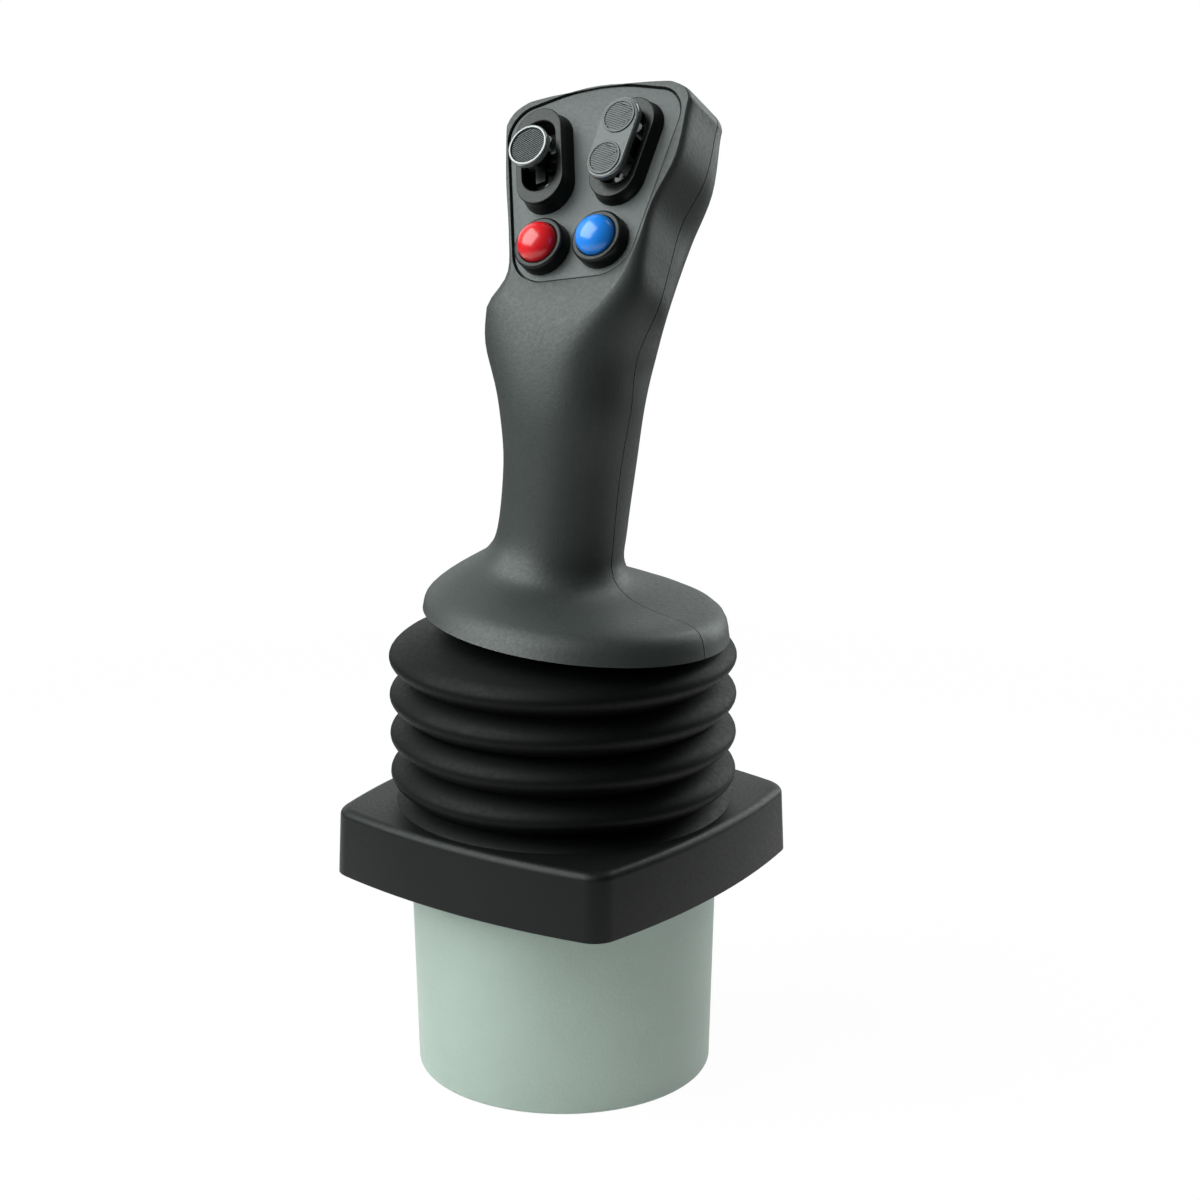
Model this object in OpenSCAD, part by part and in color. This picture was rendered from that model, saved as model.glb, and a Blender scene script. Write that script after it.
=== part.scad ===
// Panel-mount industrial joystick with a multi-function grip.
// Millimetres, +Z up. The origin is on the axis of the round housing, in the plane of the panel's top face:
// the flange sits on the panel at z = 0 and the housing hangs below it. The operator is on the -Y side.

/* [Panel cover] */
// How far the middle of each side of the cover reaches out past the housing
cover_margin = 8.1; // [7.5:0.1:13]
// How far each side of the cover bows outward
cover_bow = 4.3; // [2:0.1:6]
// Radius of the cover's corners
cover_corner_r = 8; // [6:0.5:12]
// Height of the cover above the panel
cover_h = 21; // [18:0.5:26]
// Radius of the cover's top edge
cover_edge_r = 2.5; // [1:0.1:4]
// How much wider the cover is at its foot than at its top edge, each side
cover_draft = 0.6; // [0:0.1:1]
// Wall of the cover
cover_wall = 2.4; // [1.6:0.1:3]

/* [Housing] */
// Radius of the round housing at its foot
can_foot_r = 45.4; // [43:0.1:48]
// How much wider the round housing is at the panel than at its foot
can_taper = 1.5; // [1:0.1:2.5]
// Depth of the housing below the panel
can_depth = 64.6; // [62:0.1:75]
// Wall of the housing
can_wall = 2.4; // [2:0.1:2.6]
// How far the housing's floor is set in from its foot
can_floor_recess = 10; // [8:0.5:12]
// Thickness of the housing's floor
can_floor_t = 3; // [2.5:0.1:4]

/* [Flange] */
// Thickness of the mounting flange
flange_t = 8; // [6:0.5:10]
// Distance of the fixing holes from the sides of the cover
fix_inset = 12; // [11:0.5:14]
// Tapping radius of the fixing holes
fix_hole_r = 2.1; // [1.6:0.1:2.5]
// Height of the flange's collar that carries the bellows
collar_h = 15; // [12:0.5:17]
// Wall of that collar
collar_wall = 3; // [2:0.1:4]

/* [Bellows] */
// How far the bellows' crests stay inside the sides of the cover
crest_inset = 2.4; // [1:0.1:5]
// Depth of the bellows' folds
fold_depth = 6.4; // [5:0.1:7]
// Distance between crests
crest_pitch = 12.1; // [10:0.1:12.5]
// Height of the lowest crest above the panel
crest_z = 30.3; // [29:0.1:32]
// Thickness of the rubber
rubber_t = 1.6; // [1.2:0.1:2]

/* [Gimbal] */
// Depth of the pivot point below the panel
pivot_depth = 14; // [12:0.5:16]
// Room for a sensor between the fixed bearing ring and the housing's foot
frame_room = 4.4; // [4.2:0.1:5]
// Wall of the fixed bearing ring
frame_wall = 4.6; // [4:0.1:5]
// Gap between the fixed bearing ring and the moving gimbal ring
ring_gap = 5; // [4.8:0.1:6]
// Wall of the moving gimbal ring
ring_wall = 7; // [6:0.1:8]
// Height of the gimbal ring
ring_h = 12; // [10:0.5:14]
// Radius of the gimbal pins
gimbal_pin_r = 3; // [2.5:0.1:3.5]
// Gap between the gimbal ring and the pivot block inside it
block_gap = 8; // [6.5:0.1:9]
// How far the lever leans each way, in degrees
lever_lean = 20; // [15:1:20]

/* [Lever] */
// Radius of the steel lever tube
shaft_r = 8; // [7:0.1:9]
// Bore of the lever tube
shaft_bore_r = 5.5; // [4:0.1:6]
// Height of the lever's top end above the panel
shaft_top = 138; // [125:1:142]
// Radius of the lever's tail in the gate
tail_r = 5; // [4:0.1:6]

/* [Grip] */
// Wall of the grip shells
grip_wall = 2.6; // [2:0.1:3]
// Half width of the grip at its waist
waist_w = 19; // [17:0.1:21]
// Lean of the control panel from upright, in degrees
head_tilt = 33; // [25:0.5:38]
// Roll of the control panel, in degrees
head_roll = 12; // [0:0.5:14]
// Depth of the head behind the control panel
head_depth = 29.5; // [28:0.5:34]
// How far the finger ledge stands out of the grip's side
ledge_out = 10; // [5:0.1:12]
// Radius of the skirt's rim
skirt_r = 47; // [44:0.1:49]

/* [Control panel] */
// Width of the panel's lower edge
plate_foot_w = 36.7; // [34:0.1:40]
// Width of the panel's upper edge
plate_head_w = 63.4; // [60:0.1:65]
// Height of the panel along its sides
plate_h = 59.5; // [56:0.1:62]
// Rise of the panel's arched upper edge
plate_arch = 3.2; // [1:0.1:4]
// Radius of the panel's lower corners
plate_foot_r = 12; // [8:0.5:13]
// Radius of the panel's upper corners
plate_head_r = 9.5; // [7:0.5:11]
// Thickness of the panel
plate_t = 2.4; // [2:0.1:3]
// Gap of the seam round the panel
plate_seam = 0.5; // [0.3:0.1:0.8]

/* [Controls] */
// Lean of both slot bezels away from each other, in degrees
bezel_fan = 12; // [5:0.5:15]
// Distance of the slot bezels from the panel's centre line
bezel_x = 13.8; // [13:0.1:15]
// Height of the slot bezels on the panel
bezel_y = 39; // [37:0.5:41]
// Radius of the slot bezels' round ends, at the top
bezel_r = 7.8; // [7:0.1:8.5]
// Half length of the slot bezels' straight sides
bezel_l = 8.3; // [7:0.1:9]
// How much wider the slot bezels are at their foot
bezel_draft = 1; // [0.3:0.1:1.2]
// Height of the left slot bezel
left_bezel_h = 6; // [4:0.1:7]
// Height of the right slot bezel
right_bezel_h = 4.5; // [3:0.1:6]
// Radius of the slots' round ends
slot_r = 5.8; // [5:0.1:6]
// Half length of the slots' straight sides
slot_l = 6; // [5:0.1:7]
// Radius of the thumb pad on the left
thumb_pad_r = 6.6; // [6:0.1:7]
// Height of the thumb pad's face above the panel
thumb_pad_top = 12.6; // [11.5:0.1:14]
// Radius of the rocker's two pads
rocker_pad_r = 6.3; // [5.5:0.1:6.6]
// Half distance between the rocker's pads
rocker_half = 6.7; // [6:0.1:7.5]
// Height of the rocker's face above the panel
rocker_top = 10.4; // [9.5:0.1:12]
// Distance of the round buttons from the panel's centre line
button_x = 9.9; // [9.4:0.1:10.5]
// Height of the round buttons on the panel
button_y = 10.6; // [10:0.1:12]
// Radius of the round button bezels
button_bezel_r = 8.2; // [7.5:0.1:8.6]
// Height of the round button bezels
button_bezel_h = 4.8; // [4:0.1:5.5]
// Radius of the domed buttons
button_r = 6.2; // [5.5:0.1:6.4]
// Travel of the domed buttons
button_travel = 2.5; // [1.5:0.1:3]

/* [Connector] */
// Radius of the connector's shell
plug_r = 12; // [11:0.1:13]
// Radius of the connector's socket
socket_r = 9.6; // [9:0.1:10]
// Number of contacts in the outer circle
contacts = 9; // [5:1:11]

/* [Hidden] */
$fn = 64;

fit = 0.05;          // running fit of a pin or shaft in its bore, on the radius
gap = 0.3;           // clearance between neighbouring pieces
eps = 0.01;          // overshoot of a cut

// ---------- shared outlines ----------

function spow(v, p) = sign(v) * pow(abs(v), p);
function lerp(a, b, t) = a + (b - a) * t;
function arc(c, r, a0, a1, n) = [for (i = [0:n]) c + r * [cos(lerp(a0, a1, i / n)), sin(lerp(a0, a1, i / n))]];

// A square whose sides bow outward, with round corners: half is the distance to the middle of a side.
function bowed_square(half, bow, r) =
    let (m = half - r, e = m - bow, big = (e * e + bow * bow) / (2 * bow), c = m - big, lean = asin(e / big))
    [for (q = [0:3])
        let (quarter = concat(
            arc([c, 0], big + r, -lean, lean, 8),
            arc([e, e], r, lean + 4, 86 - lean, 6)))
        for (p = quarter) [p.x * cos(90 * q) - p.y * sin(90 * q), p.x * sin(90 * q) + p.y * cos(90 * q)]];

module stadium(r, l) {
    for (s = [-1, 1]) translate([0, s * l]) circle(r);
    square([2 * r, 2 * l], center = true);
}

module tube(r_out, r_in, h) {
    difference() {
        cylinder(r = r_out, h = h);
        translate([0, 0, -eps]) cylinder(r = r_in, h = h + 2 * eps);
    }
}

// ---------- derived sizes of the base ----------

can_top_r = can_foot_r + can_taper;
cover_half = can_top_r + cover_margin;
crest_r = cover_half - crest_inset;
groove_r = crest_r - fold_depth;
collar_r = groove_r - rubber_t - 0.2;            // carries the bellows' foot
cover_neck_r = crest_r - 4.8;                    // opening in the cover for the bellows
fix_pitch = 2 * (cover_half - fix_inset);
inner_half = cover_half - cover_wall - gap;      // room inside the cover
pivot_z = -pivot_depth;
frame_h = 2 * (pivot_depth - 5);                 // height of the fixed bearing ring
floor_z = -can_depth + can_floor_recess;         // underside of the housing's floor
floor_top = floor_z + can_floor_t;
spigot_h = 4;                                    // spigot of the flange inside the housing
spigot_r = can_top_r - can_wall - gap;
frame_out_r = can_foot_r - can_wall - frame_room;
frame_in_r = frame_out_r - frame_wall;
ring_out_r = frame_in_r - ring_gap;
ring_in_r = ring_out_r - ring_wall;
block_r = ring_in_r - block_gap;
web_r = frame_in_r - 1.5;                        // opening of the flange round the lever
seal_in_r = can_top_r + 0.7;
seal_out_r = seal_in_r + 3;
seal_t = 1;
post_r = 3.4;                                    // posts that carry the plates and the housing
post_foot_r = 2.8;
post_at = frame_out_r - 2.4;
board_t = 1.6;
board_z = floor_top + 5.6;
board_r = can_foot_r - can_wall - 2;
gate_t = 3;
gate_z = board_z + 9;
tail_end = gate_z - 1.5;
gate_half = (pivot_z - tail_end) * tan(lever_lean) + tail_r / cos(lever_lean) + 0.5;
can_screw_r = 1.5;
frame_screw_r = 1.8;
thread_r = 10.8;                                 // connector's thread in the floor
nut_r = 14;

module at_posts() {
    for (a = [45:90:315]) rotate([0, 0, a]) translate([post_at, 0, 0]) children();
}

module at_fixings() {
    for (x = [-1, 1], y = [-1, 1]) translate([x * fix_pitch / 2, y * fix_pitch / 2, 0]) children();
}

module bore(r, z0, z1) translate([0, 0, z0 - eps]) cylinder(r = r, h = z1 - z0 + 2 * eps);

// A pan-head screw that points up, with its head below z = 0.
module pan_screw(r, l) {
    cylinder(r = r, h = l);
    difference() {
        translate([0, 0, -1.5 * r]) cylinder(r = 1.8 * r, h = 1.5 * r);
        translate([0, 0, -1.5 * r - eps]) cylinder(r = 0.9 * r, h = r, $fn = 6);
    }
}

// ---------- base, fixed ----------

module housing_can() color([0.62, 0.67, 0.63]) difference() {
    rotate_extrude($fn = 128) polygon([
        [can_foot_r - can_wall, -can_depth], [can_foot_r - 1, -can_depth], [can_foot_r, -can_depth + 1],
        [can_top_r, 0], [can_top_r - can_wall, 0], [can_foot_r - can_wall, floor_top],
        [0, floor_top], [0, floor_z], [can_foot_r - can_wall, floor_z]]);
    bore(thread_r + gap, floor_z, floor_top);
    at_posts() bore(can_screw_r + gap, floor_z, floor_top);
}

module can_screws() color([0.75, 0.76, 0.78]) at_posts() translate([0, 0, floor_z])
    pan_screw(can_screw_r, can_floor_t + 7);

// Face seal in a groove under the flange, round the panel's cut-out.
module can_seal() color([0.1, 0.1, 0.1]) tube(seal_out_r, seal_in_r, seal_t);

module mounting_flange() color([0.55, 0.57, 0.58]) difference() {
    union() {
        linear_extrude(flange_t) polygon(bowed_square(inner_half, cover_bow, cover_corner_r - cover_wall));
        translate([0, 0, -spigot_h]) cylinder(r = spigot_r, h = spigot_h + eps);
        translate([0, 0, flange_t - eps]) cylinder(r = collar_r, h = collar_h + eps);
    }
    bore(web_r, -spigot_h, flange_t);
    bore(collar_r - collar_wall, flange_t, flange_t + collar_h);
    translate([0, 0, -eps]) difference() {
        cylinder(r = seal_out_r, h = seal_t + eps);
        translate([0, 0, -eps]) cylinder(r = seal_in_r, h = seal_t + 3 * eps);
    }
    at_posts() bore(frame_screw_r + gap, -spigot_h, flange_t);
    at_fixings() bore(fix_hole_r, 0, flange_t);
}

module frame_screws() color([0.75, 0.76, 0.78]) at_posts() translate([0, 0, flange_t]) mirror([0, 0, 1])
    pan_screw(frame_screw_r, flange_t + spigot_h + 8);

// Snap-on cover: a shallow tray turned over, with a round opening for the bellows.
module bezel_cover() color([0.09, 0.09, 0.1]) difference() {
    hull() {
        linear_extrude(eps) polygon(bowed_square(cover_half + cover_draft, cover_bow, cover_corner_r));
        for (a = [0:22.5:90])
            translate([0, 0, cover_h - cover_edge_r * (1 - sin(a)) - eps])
                linear_extrude(eps)
                    polygon(bowed_square(cover_half - cover_edge_r * (1 - cos(a)), cover_bow, cover_corner_r));
    }
    translate([0, 0, -1]) linear_extrude(cover_h - cover_wall + 1)
        polygon(bowed_square(cover_half - cover_wall, cover_bow, cover_corner_r - cover_wall));
    bore(cover_neck_r, cover_h - cover_wall, cover_h);
}

crests = 4;
crest_top = crest_z + (crests - 1) * crest_pitch;
foot_r = collar_r + gap / 2;
boot_top_r = 16;                                 // inside of the boot's top sleeve
boot_top_z = crest_top + 14.5;
boot_sleeve = 8;

function boot_r(z) = groove_r + (crest_r - groove_r) * pow((1 + cos(360 * (z - crest_z) / crest_pitch)) / 2, 0.5);

module bellows() color([0.08, 0.08, 0.09]) {
    steps = 10;
    zs = [for (i = [-steps / 2 : crests * steps - steps / 2 - 1]) crest_z + i * crest_pitch / steps];
    outer = concat([[foot_r + rubber_t, flange_t + 1], [foot_r + rubber_t, flange_t + 8]],
        [for (z = zs) [boot_r(z), z]],
        [[crest_r - 12, crest_top + 8], [crest_r - 26, crest_top + 13.4],
         [boot_top_r + rubber_t, boot_top_z], [boot_top_r + rubber_t, boot_top_z + boot_sleeve]]);
    inner = concat([[foot_r, flange_t + 1], [foot_r, crest_z - crest_pitch / 2 - 0.5]],
        [for (z = zs) if (z > crest_z - crest_pitch / 2 + 1) [boot_r(z) - rubber_t, z]],
        [[crest_r - 12.4, crest_top + 6.4], [crest_r - 26.4, crest_top + 11.8],
         [boot_top_r, boot_top_z - 1], [boot_top_r, boot_top_z + boot_sleeve]]);
    rotate_extrude($fn = 96) polygon(concat(outer, [for (i = [len(inner) - 1 : -1 : 0]) inner[i]]));
}

module bellows_clamp() color([0.7, 0.71, 0.72]) translate([0, 0, flange_t + 2])
    tube(cover_neck_r + 0.6, foot_r + rubber_t + fit, 4);

module gimbal_frame() color([0.5, 0.52, 0.53]) difference() {
    union() {
        translate([0, 0, pivot_z - frame_h / 2]) tube(frame_out_r, frame_in_r, frame_h);
        at_posts() translate([0, 0, gate_z + gate_t]) cylinder(r = post_r, h = -spigot_h - gate_z - gate_t);
        at_posts() translate([0, 0, floor_top]) cylinder(r = post_foot_r, h = gate_z + gate_t - floor_top + eps);
    }
    translate([0, 0, pivot_z]) rotate([0, 90, 0]) bore(bush_r, -frame_out_r - 1, frame_out_r + 1);
    bore(frame_in_r - eps, pivot_z - frame_h / 2, -spigot_h);
    at_posts() bore(can_screw_r, floor_top, floor_top + 7);
    at_posts() bore(frame_screw_r, -spigot_h - 8, -spigot_h);
}

bush_r = gimbal_pin_r + 1.6;

module along_x(x) translate([x, 0, pivot_z]) rotate([0, 90, 0]) children();
module along_y(y) translate([0, y, pivot_z]) rotate([-90, 0, 0]) children();

module pitch_bushes() color([0.8, 0.6, 0.3]) for (s = [0, 1]) mirror([s, 0, 0])
    along_x(frame_in_r) tube(bush_r, gimbal_pin_r + fit, frame_out_r - frame_in_r);

// Torsion springs, as closely wound turns.
module coil(turns, wire_r, turn_r) for (i = [0 : turns - 1]) translate([0, 0, wire_r * (2 * i + 1)])
    rotate_extrude($fn = 32) translate([turn_r, 0]) circle(wire_r, $fn = 16);

spring_wire_r = 0.7;
spring_turn_r = gimbal_pin_r + 1.8;

// Where a spring of this size meets the curved inside of a ring.
function spring_seat(r) = sqrt(r * r - pow(spring_turn_r + spring_wire_r, 2));

module pitch_spring() color([0.7, 0.7, 0.72])
    along_x(-spring_seat(frame_in_r)) coil(3, spring_wire_r, spring_turn_r);

magnet_t = 2;

// A small sensor board on two stand-offs, facing a magnet on a pin's end.
module sensor_board(w, h, lift, t) {
    translate([-h / 2, -w / 2, lift]) cube([h, w, t]);
    for (s = [-1, 1]) translate([s * (h / 2 - 1.2), 0, 0]) cylinder(r = 1, h = lift + eps);
    translate([-2, -2, lift + t]) cube([4, 4, 0.6]);
}

module pitch_sensor() color([0.1, 0.4, 0.2])
    along_x(frame_out_r - 0.02) sensor_board(8, frame_h - 1, magnet_t + 1.3, 1);

module gate_plate() color([0.6, 0.61, 0.62]) difference() {
    translate([0, 0, gate_z]) cylinder(r = board_r, h = gate_t);
    translate([0, 0, gate_z - eps]) linear_extrude(gate_t + 2 * eps) square(2 * gate_half, center = true);
    at_posts() bore(post_foot_r, gate_z, gate_z + gate_t);
}

module control_board() color([0.1, 0.35, 0.2]) {
    difference() {
        translate([0, 0, board_z]) cylinder(r = board_r, h = board_t);
        at_posts() bore(post_foot_r, board_z, board_z + board_t);
        bore(4, board_z, board_z + board_t);
    }
    for (a = [0:90:270]) rotate([0, 0, a]) translate([18, -6, board_z + board_t]) cube([12, 12, 1.6]);
    for (a = [45:90:315]) rotate([0, 0, a]) translate([20, 0, board_z + board_t]) cylinder(r = 3, h = 4);
}

module board_spacers() color([0.75, 0.7, 0.5]) at_posts() {
    translate([0, 0, floor_top]) tube(post_foot_r + 1.4, post_foot_r, board_z - floor_top);
    translate([0, 0, board_z + board_t]) tube(post_foot_r + 1.4, post_foot_r, gate_z - board_z - board_t);
}

socket_z = -can_depth + 1;                       // mouth of the connector
insert_z = floor_z - 2.5;                        // face of the contact carrier
insert_r = socket_r - 0.8;

module connector_shell() color([0.6, 0.62, 0.63]) difference() {
    union() {
        translate([0, 0, socket_z]) cylinder(r = plug_r, h = floor_z - socket_z);
        translate([0, 0, floor_z - 2]) cylinder(r = plug_r + 2.5, h = 2);
        translate([0, 0, floor_z - eps]) cylinder(r = thread_r, h = can_floor_t + 3 + eps);
    }
    bore(socket_r, socket_z, insert_z);
    bore(insert_r, insert_z, floor_top + 3);
}

module connector_insert() color([0.12, 0.12, 0.13]) difference() {
    translate([0, 0, insert_z]) cylinder(r = insert_r, h = floor_top + 2 - insert_z);
    at_contacts() bore(contact_r, insert_z, floor_top + 2);
}

contact_r = 0.8;

module at_contacts() {
    for (i = [0 : contacts - 1]) rotate([0, 0, 360 * i / contacts]) translate([socket_r * 0.65, 0, 0]) children();
    children();
}

// Contacts that end flush in their carrier, so the socket is clear for a plug.
module connector_pins() color([0.85, 0.7, 0.35]) at_contacts()
    translate([0, 0, insert_z + 0.2]) cylinder(r = contact_r, h = board_z - 1 - insert_z - 0.2, $fn = 24);

module connector_nut() color([0.7, 0.71, 0.72]) difference() {
    translate([0, 0, floor_top]) cylinder(r = nut_r, h = 2.6, $fn = 6);
    bore(thread_r, floor_top, floor_top + 2.6);
}

// ---------- gimbal ring, leans about X ----------

module gimbal_ring() color([0.66, 0.67, 0.68]) difference() {
    translate([0, 0, pivot_z - ring_h / 2]) tube(ring_out_r, ring_in_r, ring_h);
    along_x(0) bore(gimbal_pin_r, -ring_out_r - 1, ring_out_r + 1);
    along_y(0) bore(bush_r, -ring_out_r - 1, ring_out_r + 1);
}

module pitch_pins() color([0.8, 0.81, 0.83]) for (s = [0, 1]) mirror([s, 0, 0])
    along_x(ring_in_r + 0.5) cylinder(r = gimbal_pin_r, h = frame_out_r - ring_in_r - 0.5);

module pitch_magnet() color([0.4, 0.4, 0.42]) along_x(frame_out_r) cylinder(r = gimbal_pin_r + 0.6, h = magnet_t);

module roll_bushes() color([0.8, 0.6, 0.3]) for (s = [0, 1]) mirror([0, s, 0])
    along_y(ring_in_r) tube(bush_r, gimbal_pin_r + fit, ring_out_r - ring_in_r - 0.4);

module roll_spring() color([0.7, 0.7, 0.72])
    along_y(-spring_seat(ring_in_r)) coil(4, spring_wire_r, spring_turn_r);

roll_magnet_t = 1.2;

module roll_sensor() color([0.1, 0.4, 0.2]) intersection() {
    along_y(ring_out_r - 0.02) rotate([0, 0, 90]) sensor_board(7, ring_h, roll_magnet_t + 1.2, 0.6);
    translate([0, 0, pivot_z - ring_h]) cylinder(r = frame_in_r - 0.8, h = 2 * ring_h);
}

// ---------- lever and grip, leans about Y inside the ring ----------

block_h = 16;
block_top = pivot_z + block_h / 2;
shaft_nut_h = 5;

module pivot_block() color([0.58, 0.6, 0.62]) difference() {
    translate([0, 0, pivot_z - block_h / 2]) cylinder(r = block_r, h = block_h);
    bore(shaft_r, pivot_z - block_h / 2, block_top);
    along_y(0) bore(gimbal_pin_r, -block_r - 1, block_r + 1);
}

module roll_pins() color([0.8, 0.81, 0.83]) for (s = [0, 1]) mirror([0, s, 0])
    along_y(shaft_r + 0.5) cylinder(r = gimbal_pin_r, h = ring_out_r - shaft_r - 0.5);

module roll_magnet() color([0.4, 0.4, 0.42])
    along_y(ring_out_r) cylinder(r = gimbal_pin_r + 0.4, h = roll_magnet_t);

module lever_shaft() color([0.78, 0.79, 0.8]) difference() {
    union() {
        translate([0, 0, pivot_z - block_h / 2]) cylinder(r = shaft_r, h = shaft_top - pivot_z + block_h / 2);
        translate([0, 0, pivot_z - block_h / 2 - 3]) cylinder(r = shaft_r + 2, h = 3);
        translate([0, 0, tail_end]) cylinder(r = tail_r, h = pivot_z - block_h / 2 - tail_end);
    }
    bore(shaft_bore_r, pivot_z, shaft_top);
    bore(tail_r - 2, tail_end, pivot_z);
}

module shaft_nut() color([0.7, 0.71, 0.72]) difference() {
    translate([0, 0, block_top]) cylinder(r = 13, h = shaft_nut_h, $fn = 6);
    bore(shaft_r, block_top, block_top + shaft_nut_h);
}

module bellows_collar() color([0.15, 0.15, 0.16])
    translate([0, 0, boot_top_z]) tube(boot_top_r, shaft_r, boot_sleeve - 1);

clamp_z = 106;
clamp_h = 16;
clamp_r = 12.5;

module grip_clamp() color([0.62, 0.63, 0.65]) difference() {
    translate([0, 0, clamp_z]) tube(clamp_r, shaft_r, clamp_h);
    translate([0, 0, clamp_z + clamp_h / 2]) rotate([-90, 0, 0]) bore(2, 0, clamp_r + 1);
}

module clamp_screw() color([0.3, 0.3, 0.31]) translate([0, shaft_r, clamp_z + clamp_h / 2])
    rotate([-90, 0, 0]) difference() {
        cylinder(r = 2, h = clamp_r - shaft_r - 0.8);
        translate([0, 0, 2]) cylinder(r = 1, h = 4, $fn = 6);
    }

// ---------- grip, a loft of rings along a bent spine ----------

// A ring is [x, y, z, tilt, roll, half width, front, back, front corner power, back corner power, front wall].
// It is square to the grip's own up direction; its middle lies on the seam between the two shells.
seam_depth = 16;                                 // seam of the shells behind the control panel
plate_foot = [4.1, -1.9, 181];                   // middle of the control panel's lower edge
rim = 1.4;                                       // shell beside the panel, before it is cut flat

function right_dir(t, r) = [cos(r), sin(r) * sin(t), sin(r) * cos(t)];
function up_dir(t, r) = [-sin(r), cos(r) * sin(t), cos(r) * cos(t)];
function back_dir(t, r) = [0, cos(t), -sin(t)];

// A ring of the head, v up the panel and dx to its right; p holds the front and the back corner power.
function head_ring(v, dx, w, back, p, front_wall) =
    concat(plate_foot + v * up_dir(head_tilt, head_roll) + dx * right_dir(head_tilt, head_roll)
        + seam_depth * back_dir(head_tilt, head_roll),
        [head_tilt, head_roll, w, seam_depth + rim, back, p[0], p[1], front_wall]);

head_w = plate_head_w / 2 + 0.3;
head_back = head_depth - seam_depth;
crown_r = 8.7;                                   // radius of the head's upper corners
crown_v = plate_h + 0.9 - crown_r;

stations = concat(
    [[5, 0, 77.5, 3, -4.5, skirt_r, skirt_r - 2, skirt_r - 2, 1, 1, grip_wall],
     [3, 0.5, 84, 3, -2, skirt_r - 2.8, skirt_r - 7, skirt_r - 4, 1, 1, grip_wall],
     [-2.4, 1, 90.5, 2, -7.5, skirt_r - 19.3, 27, 25.4, 1, 1, grip_wall],
     [-3.1, 1.5, 96, 1, -7, waist_w + 1.7, 21.5, 20.3, 0.95, 1, grip_wall],
     [-1.6, 2.5, 105, 0, -2, waist_w - 0.3, 19.5, 19.6, 0.9, 0.95, grip_wall],
     [0.1, 4, 125, 0, 0, waist_w - 0.6, 20, 20.7, 0.85, 0.9, grip_wall],
     [0.9, 5.5, 142, 3, 1, waist_w + 1.1, 21.5, 18.7, 0.8, 0.85, grip_wall],
     [1.05, 7.5, 156, 11, 4, waist_w + 1.5, 21, 21.7, 0.7, 0.8, grip_wall + 0.5]],
    [head_ring(-5, 0.5, waist_w + 2.1, head_back - 0.3, [0.4, 0.67], 4),
     head_ring(8, 0.3, plate_foot_w / 2 + 4.85, head_back + 1.1, [0.2, 0.67], 5.5),
     head_ring(22, 0, lerp(plate_foot_w, plate_head_w, 0.4) / 2 + 1.7, head_back + 4.3, [0.12, 0.67], 6),
     head_ring(36, 1.15, lerp(plate_foot_w, plate_head_w, 0.62) / 2 + 3.3, head_back + 1.4, [0.12, 0.67], 6)],
    [for (t = [0, 25, 50, 75]) head_ring(crown_v + crown_r * sin(t), 0.4,
        head_w - crown_r * (1 - cos(t)) + 1.1 * sin(2 * t), head_back - 1.5, [0.12, 0.74], 6)]);

// Catmull-Rom interpolation between the stations.
function smooth(p0, p1, p2, p3, t) =
    0.5 * (2 * p1 + (p2 - p0) * t + (2 * p0 - 5 * p1 + 4 * p2 - p3) * t * t + (3 * p1 - p0 - 3 * p2 + p3) * t * t * t);
function station(i) = stations[max(0, min(len(stations) - 1, i))];
ring_steps = 2;
rings = concat([for (i = [0 : len(stations) - 2], j = [0 : ring_steps - 1])
    smooth(station(i - 1), station(i), station(i + 1), station(i + 2), j / ring_steps)], [station(len(stations) - 1)]);

ledge_z = 168;                                   // finger ledge on the left side
function ledge(z, a) = ledge_out * exp(-pow((z - ledge_z) / (z > ledge_z ? 6 : 17), 2))
    * pow(max(0, cos(a - 208)), 3);

crown_arch = plate_arch;
function crown(x, z) = crown_arch * (1 - pow(x / head_w, 2)) * max(0, min(1, (z - 205) / 20));

// Point of a ring at angle a, drawn in by a wall; a runs from the right side over the back to the left side.
function ring_point(s, a, wall) =
    let (front = sin(a) < 0, p = front ? s[8] : s[9],
        in_y = front && wall > 1.5 ? s[10] : wall,
        x = (s[5] - wall) * spow(cos(a), p) - (wall > 0 ? 0 : ledge(s.z, a)) * (cos(a) < 0 ? 1 : 0),
        y = (front ? s[6] - in_y : s[7] - in_y) * spow(sin(a), p))
    [s.x, s.y, s.z] + x * right_dir(s[3], s[4]) + y * back_dir(s[3], s[4])
        + crown(x, s.z) * up_dir(s[3], s[4]);

// Closed loft through a list of rings, over the angles a0 to a1.
module loft(list, a0, a1, n, wall) {
    m = len(list);
    pts = concat([for (s = list, i = [0 : n - 1]) ring_point(s, lerp(a0, a1, i / (a1 - a0 < 360 ? n - 1 : n)), wall)],
        [[list[0].x, list[0].y, list[0].z], [list[m - 1].x, list[m - 1].y, list[m - 1].z]
            + crown(0, list[m - 1].z) * up_dir(head_tilt, head_roll)]);
    // The last quads of the rear half lie on the seam and are split like the front half's.
    sides = [for (k = [0 : m - 2], i = [0 : n - 1]) let (j = (i + 1) % n, a = k * n, b = a + n)
        each (i == n - 1 && a0 == 0) ? [[a + i, b + i, b + j], [a + i, b + j, a + j]]
            : [[a + i, b + i, a + j], [a + j, b + i, b + j]]];
    foot = [for (i = [0 : n - 1]) [m * n, i, (i + 1) % n]];
    head = [for (i = [0 : n - 1]) let (a = (m - 1) * n) [m * n + 1, a + (i + 1) % n, a + i]];
    polyhedron(points = pts, faces = concat(sides, foot, head), convexity = 6);
}

ring_n = 29;
web_t = 3;
grip_screw_r = 1.5;

inner_lift = 0.35;                               // keeps the hollow's rings off the shells' own rings

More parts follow.
